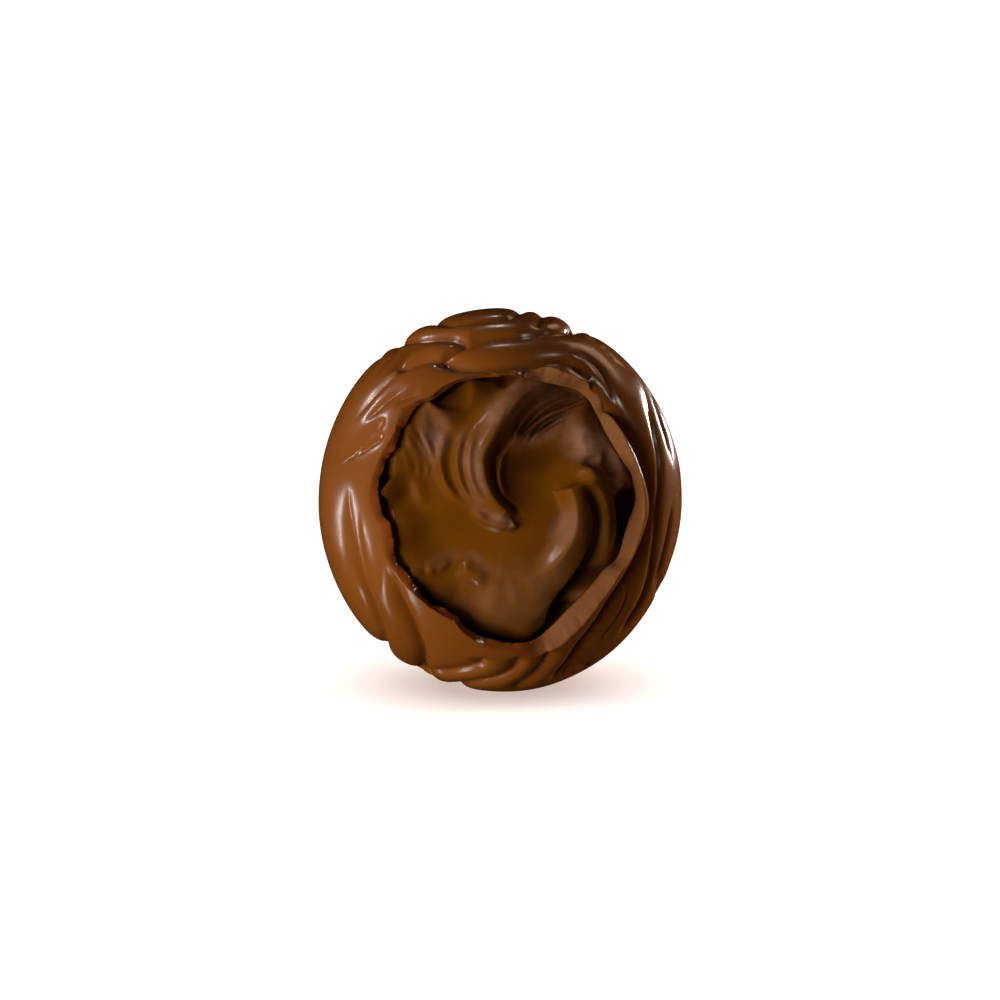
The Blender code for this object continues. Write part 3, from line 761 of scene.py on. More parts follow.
def empty_material(name: str) -> tuple[bpy.types.Material, bpy.types.Node]:
    """A new material with only its Principled shader and output."""
    material = bpy.data.materials.new(name)
    material.use_nodes = True
    return material, material.node_tree.nodes["Principled BSDF"]


class Wiring:
    """Adds nodes to a tree, with their values and links, in one call each."""

    def __init__(self, tree: bpy.types.NodeTree) -> None:
        """Args: tree: the tree to add to."""
        self.tree = tree

    def feed(self, node: bpy.types.Node, inputs: dict) -> None:
        """Gives a node's inputs their values, or links them where the value is a socket."""
        for name, value in inputs.items():
            if isinstance(value, Socket):
                self.tree.links.new(value, node.inputs[name])
            else:
                node.inputs[name].default_value = value

    def add(self, kind: str, output: str, inputs: dict, settings: dict | None = None) -> Socket:
        """Adds one node.

        Args:
            kind: the node's type.
            output: the name of the output that is wanted.
            inputs: the values or sockets of its inputs.
            settings: the node's own properties, which are set first.

        Returns:
            The wanted output.
        """
        node = self.tree.nodes.new(kind)
        for name, value in (settings or {}).items():
            setattr(node, name, value)
        self.feed(node, inputs)
        return node.outputs[output]

    def group(self, tree: bpy.types.NodeTree, output: str, inputs: dict) -> Socket:
        """Adds a node group."""
        return self.add("ShaderNodeGroup", output, inputs, {"node_tree": tree})

    def stored(self, name: str, output: str = "Fac") -> Socket:
        """Reads what the mesh stores under a name."""
        return self.add("ShaderNodeAttribute", output, {}, {"attribute_name": name})

    def blend(self, below: Socket | Colour, above: Colour, share: Socket) -> Socket:
        """Mixes a colour over another one."""
        below = below if isinstance(below, Socket) else (*below, 1.0)
        inputs = {"A": below, "B": (*above, 1.0), "Factor": share}
        return self.add("ShaderNodeMix", "Result", inputs, {"data_type": "RGBA"})

    def mix(self, below: Socket, above: Socket | float, share: Socket) -> Socket:
        """Mixes a number over another one."""
        return self.add("ShaderNodeMix", "Result", {"A": below, "B": above, "Factor": share})

    def bump(self, height: Socket, strength: float, distance: float) -> Socket:
        """The normal of a bump."""
        inputs = {"Strength": strength, "Distance": distance, "Height": height}
        return self.add("ShaderNodeBump", "Normal", inputs)


class SharedNodes:
    """Shader node groups that both finishes use."""

    def __init__(self) -> None:
        """Builds each group once."""
        self.drift = self.make_drift()
        self.ripple = self.make_ripple()

    @staticmethod
    def start_group(name: str, inputs: dict[str, float], output: str) -> tuple[Wiring, dict, bpy.types.Node]:
        """A new group with a vector input, number inputs and one number output."""
        tree = bpy.data.node_groups.new(name, "ShaderNodeTree")
        tree.interface.new_socket("Vector", in_out="INPUT", socket_type="NodeSocketVector")
        for label, value in inputs.items():
            socket = tree.interface.new_socket(label, in_out="INPUT", socket_type="NodeSocketFloat")
            socket.default_value = value
        tree.interface.new_socket(output, in_out="OUTPUT", socket_type="NodeSocketFloat")
        source, sink = tree.nodes.new("NodeGroupInput"), tree.nodes.new("NodeGroupOutput")
        return Wiring(tree), source.outputs, sink

    def make_drift(self) -> bpy.types.NodeTree:
        """Slow change of a value over the surface: noise remapped between two values."""
        settings = {"Scale": 200.0, "Low": 0.0, "High": 1.0}
        wiring, given, sink = self.start_group("slow_drift", settings, "Value")
        inputs = {"Vector": given["Vector"], "Scale": given["Scale"], "Detail": 3.0}
        noise = wiring.add("ShaderNodeTexNoise", "Fac", inputs)
        inputs = {"Value": noise, "From Min": 0.3, "From Max": 0.7}
        inputs |= {"To Min": given["Low"], "To Max": given["High"]}
        wiring.feed(sink, {"Value": wiring.add("ShaderNodeMapRange", "Result", inputs)})
        return wiring.tree

    def make_ripple(self) -> bpy.types.NodeTree:
        """Two sizes of fine unevenness added together, for a bump."""
        sizes = {"Coarse": 300.0, "Fine": 1500.0, "Fine Share": 0.3}
        wiring, given, sink = self.start_group("fine_ripple", sizes, "Height")
        noises = []
        for size, detail in (("Coarse", 2.0), ("Fine", 3.0)):
            inputs = {"Vector": given["Vector"], "Scale": given[size], "Detail": detail}
            noises.append(wiring.add("ShaderNodeTexNoise", "Fac", inputs))
        coarse, fine = noises
        terms = {0: fine, 1: given["Fine Share"], 2: coarse}
        height = wiring.add("ShaderNodeMath", "Value", terms, {"operation": "MULTIPLY_ADD"})
        wiring.feed(sink, {"Height": height})
        return wiring.tree


@dataclass(frozen=True)
class ChocolateFinish:
    """Milk chocolate from a polished mould, with a matter and paler broken face."""

    skin: Colour = (0.270, 0.078, 0.0085)
    skin_deep: Colour = (0.215, 0.058, 0.0055)
    broken: Colour = (0.250, 0.090, 0.026)
    # Painted glow: reddish tint for light shining through the thin lip.
    thin_edge_glow: Colour = (0.330, 0.062, 0.010)
    roughness: tuple[float, float] = (0.21, 0.28)
    broken_roughness: float = 0.55
    wet_roughness: float = 0.10

    def build(self, shared: SharedNodes) -> bpy.types.Material:
        """The shell's material. It reads the mesh's masks for the broken face, its wet edge and the painted
        reddish glow of its thin edge.
        """
        material, shader = empty_material("milk_chocolate")
        wiring = Wiring(material.node_tree)
        place = wiring.add("ShaderNodeTexCoord", "Object", {})
        broken = wiring.stored("broken")
        drift = wiring.group(shared.drift, "Value", {"Vector": place, "Scale": 110.0})
        colour = wiring.blend(self.skin, self.skin_deep, drift)
        colour = wiring.blend(colour, self.broken, broken)
        # Painted glow of light through the thin lip.
        colour = wiring.blend(colour, self.thin_edge_glow, wiring.stored("thin"))
        low, high = self.roughness
        inputs = {"Vector": place, "Scale": 260.0, "Low": low, "High": high}
        gloss = wiring.group(shared.drift, "Value", inputs)
        gloss = wiring.mix(gloss, self.broken_roughness, broken)
        gloss = wiring.mix(gloss, self.wet_roughness, wiring.stored("wet"))
        inputs = {"Vector": place, "Coarse": 320.0, "Fine": 2600.0, "Fine Share": 0.06}
        skin_ripple = wiring.group(shared.ripple, "Height", inputs)
        inputs = {"Vector": place, "Coarse": 2200.0, "Fine": 6500.0, "Fine Share": 0.6}
        grain = wiring.group(shared.ripple, "Height", inputs)
        normal = wiring.bump(wiring.mix(skin_ripple, grain, broken), 0.5, 0.00012)
        wiring.feed(shader, {
            "Base Color": colour,
            "Roughness": gloss,
            "Normal": normal,
            "Specular IOR Level": 0.42,
            "Subsurface Weight": 0.15,
            "Subsurface Radius": (1.0, 0.35, 0.12),
            "Subsurface Scale": 0.0009,
        })
        return material


@dataclass(frozen=True)
class FillingFinish:
    """Soft chocolate cream: wet and dark, with painted sheen in pale patches and threads, painted shade in
    its hollows, and stirring streaks lightened on raised places as painted light.
    """

    cream: Colour = (0.186, 0.054, 0.0012)
    # Lighter cream for the stirring streaks, shown only on raised places: real streaks with painted light on
    # the crests.
    streak_and_crest_light: Colour = (0.200, 0.066, 0.0080)
    # Painted sheen: pale pinkish colour that stands in for the soft lights' reflection on the cream.
    pale: Colour = (0.370, 0.175, 0.105)
    # Painted shade: near-black painted into the hollows, pockets, slits and between the strands.
    deep: Colour = (0.040, 0.009, 0.0006)
    roughness: tuple[float, float] = (0.17, 0.28)

    def build(self, shared: SharedNodes) -> bpy.types.Material:
        """The filling's material. It reads the mesh's flow for streaks along the stirring, and its masks of
        raised places, painted sheen and painted shade.
        """
        material, shader = empty_material("soft_filling")
        wiring = Wiring(material.node_tree)
        place = wiring.add("ShaderNodeTexCoord", "Object", {})
        flow = wiring.stored("flow", "Vector")
        multiply = {"operation": "MULTIPLY"}
        # Stirring streaks lightened only on raised places, which paints light on the crests.
        streak = wiring.group(shared.drift, "Value", {"Vector": flow, "Scale": 1.0})
        share = wiring.add("ShaderNodeMath", "Value", {0: streak, 1: wiring.stored("raised")}, multiply)
        colour = wiring.blend(self.cream, self.streak_and_crest_light, share)
        # Painted sheen: pale pinkish patches where the cream shows the lights' reflection.
        patches = wiring.group(shared.drift, "Value", {"Vector": place, "Scale": 800.0, "Low": 0.15})
        share = wiring.add("ShaderNodeMath", "Value", {0: patches, 1: wiring.stored("pale")}, multiply)
        colour = wiring.blend(colour, self.pale, share)
        # Painted shade over the hollows, pockets and gaps between strands.
        colour = wiring.blend(colour, self.deep, wiring.stored("deep"))
        low, high = self.roughness
        inputs = {"Vector": place, "Scale": 420.0, "Low": low, "High": high}
        gloss = wiring.group(shared.drift, "Value", inputs)
        inputs = {"Vector": flow, "Coarse": 1.6, "Fine": 5.0, "Fine Share": 0.35}
        normal = wiring.bump(wiring.group(shared.ripple, "Height", inputs), 0.12, 0.00015)
        wiring.feed(shader, {
            "Base Color": colour,
            "Roughness": gloss,
            "Normal": normal,
            "Specular IOR Level": 0.55,
            "Subsurface Weight": 0.12,
            "Subsurface Radius": (1.0, 0.35, 0.10),
            "Subsurface Scale": 0.0008,
        })
        return material


def polar_net(name: str, columns: int, rings: int) -> tuple[bpy.types.Object, np.ndarray, np.ndarray]:
    """A ball net laid by the sphere tool, with each vertex's ring and column.

    Args:
        name: the piece's name.
        columns: columns round the net.
        rings: rings from pole to pole.

    Returns:
        The object, the ring of each vertex from 0 at the first pole, and its column.
    """
    bpy.ops.object.select_all(action="DESELECT")
    bpy.ops.mesh.primitive_uv_sphere_add(
        segments=columns // 2, ring_count=rings // 2, radius=1.0, location=(0, 0, 0)
    )
    piece = bpy.context.object
    bpy.ops.object.mode_set(mode="EDIT")
    bpy.ops.mesh.select_all(action="SELECT")
    bpy.ops.mesh.subdivide(number_cuts=1)
    bpy.ops.object.mode_set(mode="OBJECT")
    piece.name = name
    piece.data.name = name
    places = np.empty(len(piece.data.vertices) * 3)
    piece.data.vertices.foreach_get("co", places)
    places = places.reshape(-1, 3)
    places /= np.linalg.norm(places, axis=1)[:, None]
    ring = np.round(np.arccos(np.clip(places[:, 2], -1, 1)) * rings / math.pi).astype(int)
    column = np.round(np.arctan2(places[:, 1], places[:, 0]) * columns / (2 * math.pi)).astype(int) % columns
    return piece, ring, column


def even_out(values: np.ndarray, count: int) -> np.ndarray:
    """The running mean of values that lie round a closed line."""
    half = count // 2
    closed = np.concatenate([values[-half:], values, values[:half]])
    return np.convolve(closed, np.ones(count) / count, mode="valid")


def write_mask(piece: bpy.types.Object, name: str, values: np.ndarray) -> None:
    """Stores a number for each vertex under a name that a material reads."""
    attribute = piece.data.attributes.new(name, "FLOAT", "POINT")
    attribute.data.foreach_set("value", values.astype(np.float32))


@dataclass
class Shell:
    """The moulded chocolate shell: fluted skin, broken face and inner wall.

    Attributes:
        ball: the ball it is formed over.
        crown: the spiral on top.
        flutes: the ribs down the sides.
        opening: the broken opening.
        columns: columns of its net.
        back_rings: rings over the back.
        front_rings: rings between the limb and the opening.
        broken_rings: rings over the broken face.
        under_rings: rings from the thin lip down to the inner wall.
        inner_rings: rings over the inner wall.
        undercut: how far the wall falls back under the thin lip, in degrees.
        edge_evening: how many columns the skin's edge is evened out over.
        unevenness: height of the slow unevenness of the skin, in millimetres.
        sharpness: how sharply grooves that cross are joined.
        limb: where the finer rings start, in degrees from the view's axis.
        face_rolls: where the wide face starts to give way to the lip and where it has, in degrees.
        least_face: the least depth of the broken face, in millimetres.
        crumble: height of the broken face's unevenness, in millimetres.
        teeth_rolls: where the chips grow and shrink round the opening, in degrees from the right.
        teeth: the chips' size at the least, and what is added at the most.
    """

    ball: Ball
    crown: Crown
    flutes: Flutes
    opening: Opening
    columns: int = 400
    back_rings: int = 74
    front_rings: int = 124
    broken_rings: int = 14
    under_rings: int = 4
    inner_rings: int = 20
    undercut: float = 4.6
    edge_evening: int = 15
    unevenness: float = 0.045
    sharpness: float = 3.0
    limb: float = 100.0
    face_rolls: tuple[float, float] = (68.0, 82.0)
    least_face: float = 0.15
    crumble: float = 0.03
    teeth_rolls: tuple[float, float, float, float] = (125.0, 150.0, 262.0, 285.0)
    teeth: tuple[float, float] = (0.5, 1.3)

    def relief(self, direction: np.ndarray) -> np.ndarray:
        """Depth of the skin under the smooth ball at each direction, in millimetres."""
        seen = (*self.crown.grooves(), self.flutes.main, *self.flutes.front)
        cuts = [(groove, ball_path(self.ball, groove.course)) for groove in seen]
        cuts += self.crown.behind(self.ball) + self.flutes.behind(self.ball)
        total = np.zeros(len(direction))
        for groove, path in cuts:
            total += groove_depth(self.ball, direction, path, groove) ** self.sharpness
        uneven = Noise(3, 4.0)(direction) * self.unevenness
        return total ** (1 / self.sharpness) + uneven + self.unevenness

    def build(self) -> bpy.types.Object:
        """Lays the net and moves each vertex to its place on the skin, the broken face or the inner wall."""
        rings = self.back_rings + self.front_rings + self.broken_rings + self.under_rings + self.inner_rings
        piece, ring, column = polar_net("truffle_shell", self.columns, rings)
        rolls = -np.arange(self.columns) * 2 * math.pi / self.columns
        facets = self.facet(rolls)
        lips = self.opening.lip_depth + (self.ball.wall - self.opening.lip_depth) * facets
        edges, edge_reliefs = self.outer_edge(rolls)
        raised = self.opening.reach(self.ball, self.opening.inner, rolls, self.opening.lip_depth)
        sunk = self.opening.reach(self.ball, self.opening.inner, rolls, self.ball.wall)
        teeth = (self.opening.chips(rolls, 8) * self.teeth_share(rolls))[column]
        inners = raised + (sunk - raised) * facets
        roll, outer, edge_relief, facet, lip, inner = (
            values[column] for values in (rolls, edges, edge_reliefs, facets, lips, inners)
        )
        limb = math.radians(self.limb)
        skin_rings = self.back_rings + self.front_rings
        wall_rings = skin_rings + self.broken_rings
        back_share = np.clip(ring / self.back_rings, 0, 1)
        front_share = np.clip((ring - self.back_rings) / self.front_rings, 0, 1)
        broken_share = np.clip((ring - skin_rings) / self.broken_rings, 0, 1)
        under_share = np.clip((ring - wall_rings) / self.under_rings, 0, 1)
        inner_share = np.clip((ring - wall_rings - self.under_rings) / self.inner_rings, 0, 1)
        foot = inner + teeth + math.radians(self.undercut) * (1 - facet)
        angle = math.pi + (limb - math.pi) * back_share + (outer - limb) * front_share
        angle = angle + (inner - outer) * broken_share + teeth * broken_share**5
        angle = angle + (foot - inner - teeth) * under_share + (math.pi - foot) * inner_share
        direction = self.ball.turned(roll, angle)
        depth = self.relief(direction)
        crumble = Noise(11, 60.0)(direction) * self.crumble
        rounding = 2.0 - 0.7 * facet
        broken_depth = edge_relief + np.maximum(lip - edge_relief, self.least_face) * broken_share**rounding
        broken_depth = broken_depth + crumble * np.sin(math.pi * broken_share) * facet
        broken_depth = broken_depth + (self.ball.wall - broken_depth) * under_share
        depth = np.where(ring > skin_rings, broken_depth, depth)
        piece.data.vertices.foreach_set("co", self.ball.at_depth(direction, depth).ravel())
        piece.data.update()
        self.mark(piece, ring, roll, broken_share, inner_share)
        bpy.ops.object.shade_smooth()
        return piece

    def teeth_share(self, rolls: np.ndarray) -> np.ndarray:
        """How large the chips of the inner line are: largest at the lower left, and least at the top."""
        degrees = np.degrees(np.mod(rolls, 2 * math.pi))
        least, added = self.teeth
        rise, risen, fall, fallen = self.teeth_rolls
        return least + added * smoothstep(rise, risen, degrees) * (1 - smoothstep(fall, fallen, degrees))

    def outer_edge(self, rolls: np.ndarray) -> tuple[np.ndarray, np.ndarray]:
        """Angle and relief of the skin's edge for each roll, so that the front view shows it on its line."""
        shallow, deep = (
            self.opening.reach(self.ball, self.opening.outer, rolls, depth) for depth in (0.0, 1.0)
        )
        edges = shallow
        for _ in range(3):
            reliefs = self.relief(self.ball.turned(rolls, edges))
            edges = shallow + (deep - shallow) * even_out(reliefs, self.edge_evening)
        edges = edges + self.opening.chips(rolls, 5)
        return edges, self.relief(self.ball.turned(rolls, edges))

    def facet(self, roll: np.ndarray) -> np.ndarray:
        """1 where the break shows as a wide face, at the right, and 0 where it is a thin lip."""
        degrees = np.degrees(np.abs(np.arctan2(np.sin(roll), np.cos(roll))))
        return 1 - smoothstep(*self.face_rolls, degrees)

    def mark(
        self,
        piece: bpy.types.Object,
        ring: np.ndarray,
        roll: np.ndarray,
        broken: np.ndarray,
        inside: np.ndarray,
    ) -> None:
        """Stores the masks of the broken face, of its wet edge at the lower left and of the reddish lip,
        whose tint paints light glowing through the thin chocolate.
        """
        skin_rings = self.back_rings + self.front_rings
        facet = self.facet(roll)
        mask = np.clip((ring - skin_rings) / 1.5, 0, 1) * (1 - smoothstep(0.0, 0.15, inside))
        write_mask(piece, "broken", mask * facet)
        degrees = np.degrees(np.mod(roll, 2 * math.pi))
        wet = smoothstep(0.55, 0.85, broken) * smoothstep(200, 220, degrees)
        write_mask(piece, "wet", mask * (1 - facet) * wet)
        # Painted glow of light through the thin lip, on the left and lower edge.
        reddish = smoothstep(120, 160, degrees) * smoothstep(0.0, 0.8, broken)
        write_mask(piece, "thin", 0.65 * mask * (1 - facet) * reddish)

    def dress(self, piece: bpy.types.Object, finish: bpy.types.Material) -> None:
        """Gives the piece its finish and ties it to the solid it stands for."""
        piece.data.materials.clear()
        piece.data.materials.append(finish)
        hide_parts("shell")
        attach(piece, "root")


def ball_path(ball: Ball, course: Places) -> np.ndarray:
    """Unit directions along a course in the front view, about a third of a millimetre apart."""
    path = smooth_path(ball.seen(course), 0.022)
    return path / np.linalg.norm(path, axis=1)[:, None]


@dataclass
class Filling:
    """The soft filling, whose stirred face shows in the opening.

    Attributes:
        ball: the ball it is formed over.
        form: its folds, hollows and bumps.
        opening: the broken opening that it shows in.
        gap: the gap between the filling and the shell, in millimetres.
        columns: columns of its net.
        back_rings: rings behind the shell's edge.
        front_rings: rings over the face.
        cover: how far the face runs on behind the shell's edge, in degrees.
    """

    ball: Ball
    form: FillingForm
    opening: Opening
    gap: float = 0.10
    columns: int = 400
    back_rings: int = 26
    front_rings: int = 210
    cover: float = 9.0

    def relief(self, direction: np.ndarray) -> np.ndarray:
        """Depth of the face under the shell's inner wall at each direction, in millimetres."""
        form = self.form
        u, v = self.ball.flat_place(direction, self.ball.wall + form.level + form.dish)
        depth = form.level + form.dish * np.maximum(1 - (np.hypot(u, v) / form.dish_radius) ** 2, 0.0)
        for fold in form.folds:
            depth = depth - fold_height(u, v, fold)
        for hollow in form.hollows:
            depth = depth + hollow.depth * hollow_mask(u, v, hollow)
        depth = depth - self.strands(u, v)
        depth = depth - form.sheen_bumps * scattered_bumps(u, v, form.sheen_zone, 46, 0.42, 21)
        depth = depth - form.pocket_bumps * scattered_bumps(u, v, form.pocket_zone, 30, 0.40, 34)
        streaks = np.sin(14 * u + 1.3 * v + 2 * np.sin(1.7 * v)) * (0.6 + 0.4 * np.sin(3.1 * v + 2 * u))
        depth = depth - form.streak_height * streaks * hollow_mask(u, v, form.streak_zone)
        soft = 0.12
        floor = form.lowest_cover
        return floor + soft * np.logaddexp(0.0, (depth - floor) / soft)

    def strands(self, u: np.ndarray, v: np.ndarray) -> np.ndarray:
        """Height of the torn strands that arch over the upper hollow."""
        centre = view_millimetres((self.form.strand_centre,))[0]
        radius = np.hypot(u - centre[0], v - centre[1])
        angle = np.arctan2(v - centre[1], u - centre[0])
        ridges = np.sin(15 * radius + 2.4 * np.sin(2.2 * angle) + 1.2 * np.sin(5 * angle))
        ridges = ridges * (0.5 + 0.5 * np.sin(6 * radius - 4 * angle))
        return self.form.strand_height * ridges * hollow_mask(u, v, self.form.strand_zone)

    def build(self) -> bpy.types.Object:
        """Lays the net and moves each vertex to its place."""
        rings = self.back_rings + self.front_rings
        piece, ring, column = polar_net("truffle_filling", self.columns, rings)
        roll = -column * 2 * math.pi / self.columns
        join = self.opening.reach(self.ball, self.opening.inner, roll, self.ball.wall)
        join = join + math.radians(self.cover)
        back_share = np.clip(ring / self.back_rings, 0, 1)
        front_share = np.clip((ring - self.back_rings) / self.front_rings, 0, 1)
        angle = math.pi + (join - math.pi) * back_share - join * front_share
        direction = self.ball.turned(roll, angle)
        open_share = smoothstep(0.0, 0.10, front_share)
        relief = self.relief(direction)
        lip = self.opening.reach(self.ball, self.opening.inner, roll, self.opening.lip_depth)
        past = np.degrees(angle - lip)
        collar = np.exp(-((np.minimum(past, 0.0) / self.form.collar_width) ** 2))
        collar = collar * (1 - smoothstep(self.form.collar_top, self.form.collar_fall, past))
        collar = collar * self.collar_share(roll)
        depth = self.ball.wall + self.gap + relief * open_share - self.form.collar * collar
        piece.data.vertices.foreach_set("co", self.ball.at_depth(direction, depth).ravel())
        piece.data.update()
        self.mark(piece, direction, relief)
        bpy.ops.object.shade_smooth()
        return piece

    def collar_share(self, roll: np.ndarray) -> np.ndarray:
        """1 where the filling swells up to the thin lip, less over the pocket, and 0 elsewhere."""
        degrees = np.degrees(np.mod(roll, 2 * math.pi))
        rise, risen, fall, fallen = self.form.collar_rolls
        middle, width, share = self.form.pocket
        pocket = np.exp(-(((degrees - middle) / width) ** 2))
        swelling = smoothstep(rise, risen, degrees) * (1 - smoothstep(fall, fallen, degrees))
        return swelling * (1 - share * pocket)

    def mark(self, piece: bpy.types.Object, direction: np.ndarray, relief: np.ndarray) -> None:
        """Stores masks of the raised places, of painted sheen and of painted shade, and coordinates that
        follow the stirring.
        """
        form = self.form
        # Raised places, where the streaks paint light on the crests.
        write_mask(piece, "raised", 1 - smoothstep(0.2, 1.3, relief))
        u, v = self.ball.flat_place(direction, self.ball.wall + 1.0)
        strands = self.strands(u, v)
        # Painted sheen: pale over the sheen zones and on the strands' crests.
        pale = sum(zone.depth * hollow_mask(u, v, zone) for zone in form.painted_sheen_zones)
        pale = pale + form.thread_sheen * np.maximum(strands - form.thread_floor, 0.0)
        write_mask(piece, "pale", np.clip(pale, 0.0, 1.0))
        # Painted shade: darker over the hollows and pockets, and between the strands.
        deep = sum(zone.depth * hollow_mask(u, v, zone) for zone in form.painted_shade_zones)
        write_mask(piece, "deep", np.clip(deep - form.thread_shade * strands, 0.0, 1.0))
        u, v = u - 3.3, v - 1.4
        radius = np.hypot(u, v) + 0.05
        angle = np.arctan2(v, u)
        turn = angle + 0.55 * np.log(radius + 0.5)
        flow = np.stack([radius * 0.9, np.cos(turn) * 1.2, np.sin(turn) * 1.2], axis=-1)
        attribute = piece.data.attributes.new("flow", "FLOAT_VECTOR", "POINT")
        attribute.data.foreach_set("vector", flow.astype(np.float32).ravel())

    def dress(self, piece: bpy.types.Object, finish: bpy.types.Material) -> None:
        """Gives the piece its finish and ties it to the solid it stands for."""
        piece.data.materials.clear()
        piece.data.materials.append(finish)
        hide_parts("filling")
        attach(piece, "root")


@dataclass(frozen=True)
class Softbox:
    """A rectangular studio light that shows as a highlight.

    Attributes:
        name: what it lights.
        toward: the direction from the ball to the light.
        size: its width and height, in metres.
        power: its power, in watts.
        colour: its colour.
        distance: how far away it stands, in metres.
    """

    name: str
    toward: tuple[float, float, float]
    size: tuple[float, float]
    power: float
    colour: tuple[float, float, float] = (1.0, 1.0, 1.0)
    distance: float = 0.42

    def place(self, target: Vector) -> bpy.types.Object:
        """Makes the light, turned to the target."""
        light = bpy.data.lights.new(self.name, "AREA")
        light.shape = "RECTANGLE"
        light.size, light.size_y = self.size
        light.energy = self.power
        light.color = self.colour
        holder = bpy.data.objects.new(self.name, light)
        bpy.context.scene.collection.objects.link(holder)
        away = Vector(self.toward).normalized()
        holder.location = target + away * self.distance
        holder.rotation_euler = away.to_track_quat("Z", "Y").to_euler()
        holder.visible_diffuse = False
        return holder


@dataclass(frozen=True)
class Sky:
    """Even light from a wide part of the surroundings.

    Attributes:
        name: what it lights.
        toward: the direction from the ball to its middle.
        strength: the light it gives on a surface turned to it.
        spread: how wide it is, in degrees.
    """

    name: str
    toward: tuple[float, float, float]
    strength: float
    spread: float

    def place(self) -> bpy.types.Object:
        """Makes the light."""
        light = bpy.data.lights.new(self.name, "SUN")
        light.energy = self.strength
        light.angle = math.radians(self.spread)
        holder = bpy.data.objects.new(self.name, light)
        bpy.context.scene.collection.objects.link(holder)
        holder.rotation_euler = Vector(self.toward).to_track_quat("Z", "Y").to_euler()
        holder.visible_glossy = False
        return holder


def light_only(light: bpy.types.Object, pieces: tuple[bpy.types.Object, ...]) -> None:
    """Lets a light reach nothing but the pieces."""
    reached = bpy.data.collections.new(f"{light.name}_reaches")
    for piece in pieces:
        reached.objects.link(piece)
    light.light_linking.receiver_collection = reached


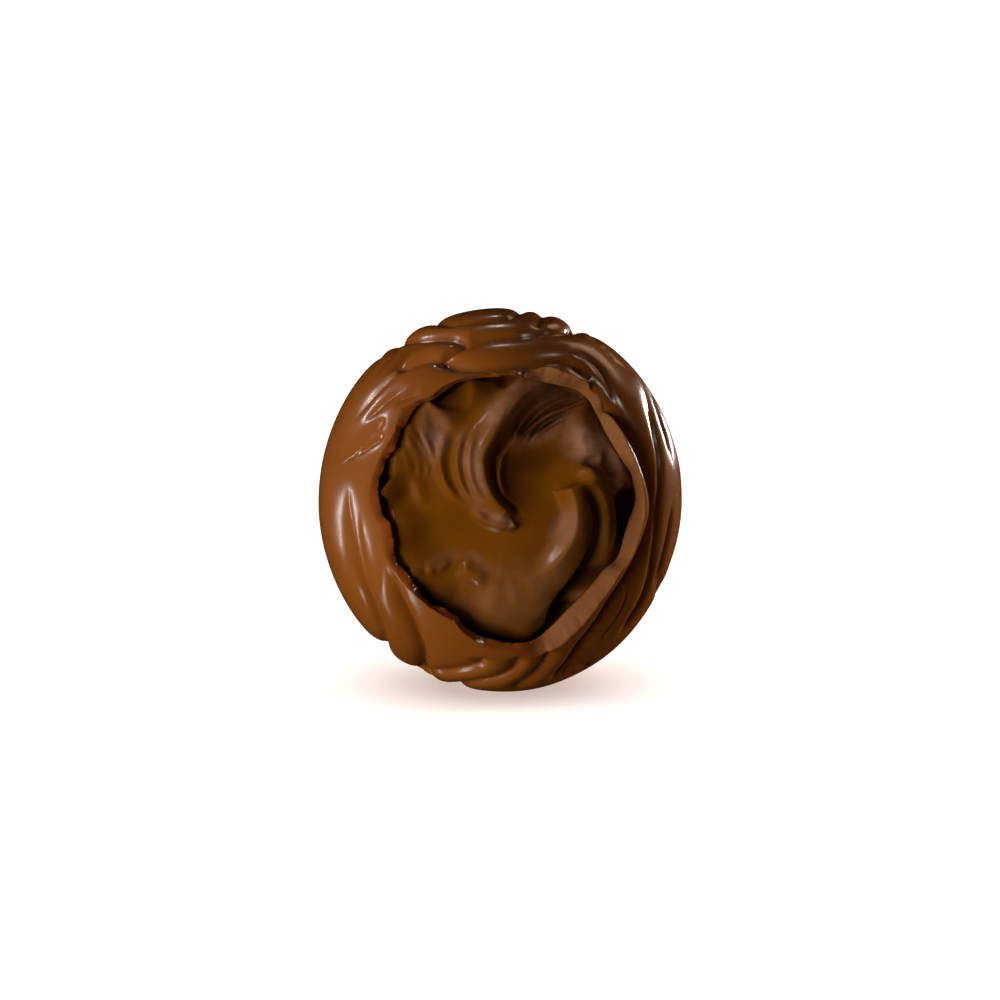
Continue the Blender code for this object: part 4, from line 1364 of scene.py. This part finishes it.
@dataclass
class Studio:
    """The pale floor, the lights, the surroundings and the camera."""

    ball: Ball
    floor_size: float = 6.0
    floor_colour: tuple[float, float, float] = (0.90, 0.90, 0.90)
    floor_glow: tuple[float, float, float] = (0.55, 0.47, 0.43)
    surroundings: float = 0.042
    floor_sky: Sky = Sky("floor_sky", (0.0, 0.0, 1.0), 3.2, 115.0)
    skies: tuple[Sky, ...] = (
        Sky("front_left_sky", (-0.76, -0.64, -0.05), 2.70, 44.0),
        Sky("left_sky", (-0.95, 0.10, 0.22), 0.98, 75.0),
        Sky("back_right_sky", (0.74, 0.66, -0.04), 4.0, 46.0),
    )
    shell_lights: tuple[Softbox, ...] = (
        Softbox("left_strip", (-0.92, 0.36, -0.20), (0.018, 0.11), 0.26),
        Softbox("upper_left", (-0.84, 0.34, 0.43), (0.04, 0.05), 0.20),
        Softbox("lower_left", (-0.75, -0.04, -0.67), (0.05, 0.05), 0.12),
        Softbox("right_rim", (0.53, 0.825, 0.08), (0.035, 0.05), 0.40),
        Softbox("crown", (0.0, 0.49, 0.87), (0.035, 0.012), 0.10),
        Softbox("right_sheen", (0.53, 0.59, 0.61), (0.14, 0.14), 0.18, (1.0, 0.60, 0.36)),
        Softbox("lip_glint", (0.73, -0.24, 0.56), (0.03, 0.03), 0.16, (1.0, 0.90, 0.75)),
    )
    filling_lights: tuple[Softbox, ...] = (
        Softbox("filling_left", (-0.75, -0.25, 0.60), (0.03, 0.03), 0.07, (1.0, 0.86, 0.80)),
        Softbox("filling_below", (-0.40, -0.30, -0.85), (0.05, 0.05), 0.12, (1.0, 0.86, 0.80)),
    )

    def build(self, shell: bpy.types.Object, filling: bpy.types.Object) -> None:
        """Makes all of the studio round the two pieces."""
        floor = self.make_floor()
        target = Vector(self.ball.centre * MM)
        for light in self.shell_lights:
            light_only(light.place(target), (shell,))
        for light in self.filling_lights:
            light_only(light.place(target), (filling,))
        for sky in self.skies:
            light_only(sky.place(), (shell, filling))
        light_only(self.floor_sky.place(), (floor,))
        self.make_surroundings()
        self.make_camera(target)
        bpy.context.scene.view_settings.view_transform = "Standard"

    def make_floor(self) -> bpy.types.Object:
        """The floor, which glows a little so that it stays pale."""
        bpy.ops.object.select_all(action="DESELECT")
        bpy.ops.mesh.primitive_plane_add(size=self.floor_size, location=(0, 0, 0))
        floor = bpy.context.object
        floor.name = "pale_floor"
        material, shader = empty_material("pale_floor")
        shader.inputs["Base Color"].default_value = (*self.floor_colour, 1.0)
        shader.inputs["Roughness"].default_value = 0.9
        shader.inputs["Specular IOR Level"].default_value = 0.0
        shader.inputs["Emission Color"].default_value = (*self.floor_glow, 1.0)
        shader.inputs["Emission Strength"].default_value = 1.0
        floor.data.materials.append(material)
        floor.visible_glossy = False
        floor.visible_diffuse = False
        floor.visible_shadow = False
        return floor

    def make_surroundings(self) -> None:
        """White to the camera, and dim light from all round for everything else."""
        world = bpy.data.worlds.new("studio_surroundings")
        world.use_nodes = True
        bpy.context.scene.world = world
        nodes, links = world.node_tree.nodes, world.node_tree.links
        background = nodes["Background"]
        path = nodes.new("ShaderNodeLightPath")
        strength = nodes.new("ShaderNodeMath")
        strength.operation = "MULTIPLY_ADD"
        strength.inputs[1].default_value = self.surroundings
        links.new(path.outputs["Is Diffuse Ray"], strength.inputs[0])
        links.new(path.outputs["Is Camera Ray"], strength.inputs[2])
        links.new(strength.outputs["Value"], background.inputs["Strength"])
        background.inputs["Color"].default_value = (1.0, 1.0, 1.0, 1.0)

    def make_camera(self, target: Vector) -> None:
        """The camera at the photograph's angle, aimed at the ball's centre."""
        camera = bpy.data.cameras.new("front_camera")
        camera.sensor_width = 36.0
        camera.lens = camera.sensor_width * VIEW_DISTANCE / VIEW_WIDTH
        camera.clip_start = 0.01
        camera.clip_end = 10.0
        holder = bpy.data.objects.new("front_camera", camera)
        bpy.context.scene.collection.objects.link(holder)
        away = Vector(self.ball.out)
        holder.location = target + away * VIEW_DISTANCE * MM
        holder.rotation_euler = away.to_track_quat("Z", "Y").to_euler()
        bpy.context.scene.camera = holder


def write_sizes() -> None:
    """Updates the view layer."""
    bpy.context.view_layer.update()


def main() -> None:
    """Builds the shell, the filling and the studio, in that order."""
    logging.basicConfig(level=logging.INFO, format="%(message)s")
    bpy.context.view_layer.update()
    ball = Ball()
    opening = Opening()
    shared = SharedNodes()
    log.info("frame loaded")
    shell = Shell(ball, Crown(), Flutes(), opening)
    shell_piece = shell.build()
    shell.dress(shell_piece, ChocolateFinish().build(shared))
    log.info("shell: %d faces", len(shell_piece.data.polygons))
    filling = Filling(ball, FillingForm(), opening)
    filling_piece = filling.build()
    filling.dress(filling_piece, FillingFinish().build(shared))
    log.info("filling: %d faces", len(filling_piece.data.polygons))
    Studio(ball).build(shell_piece, filling_piece)
    write_sizes()


if __name__ == "__main__":
    main()
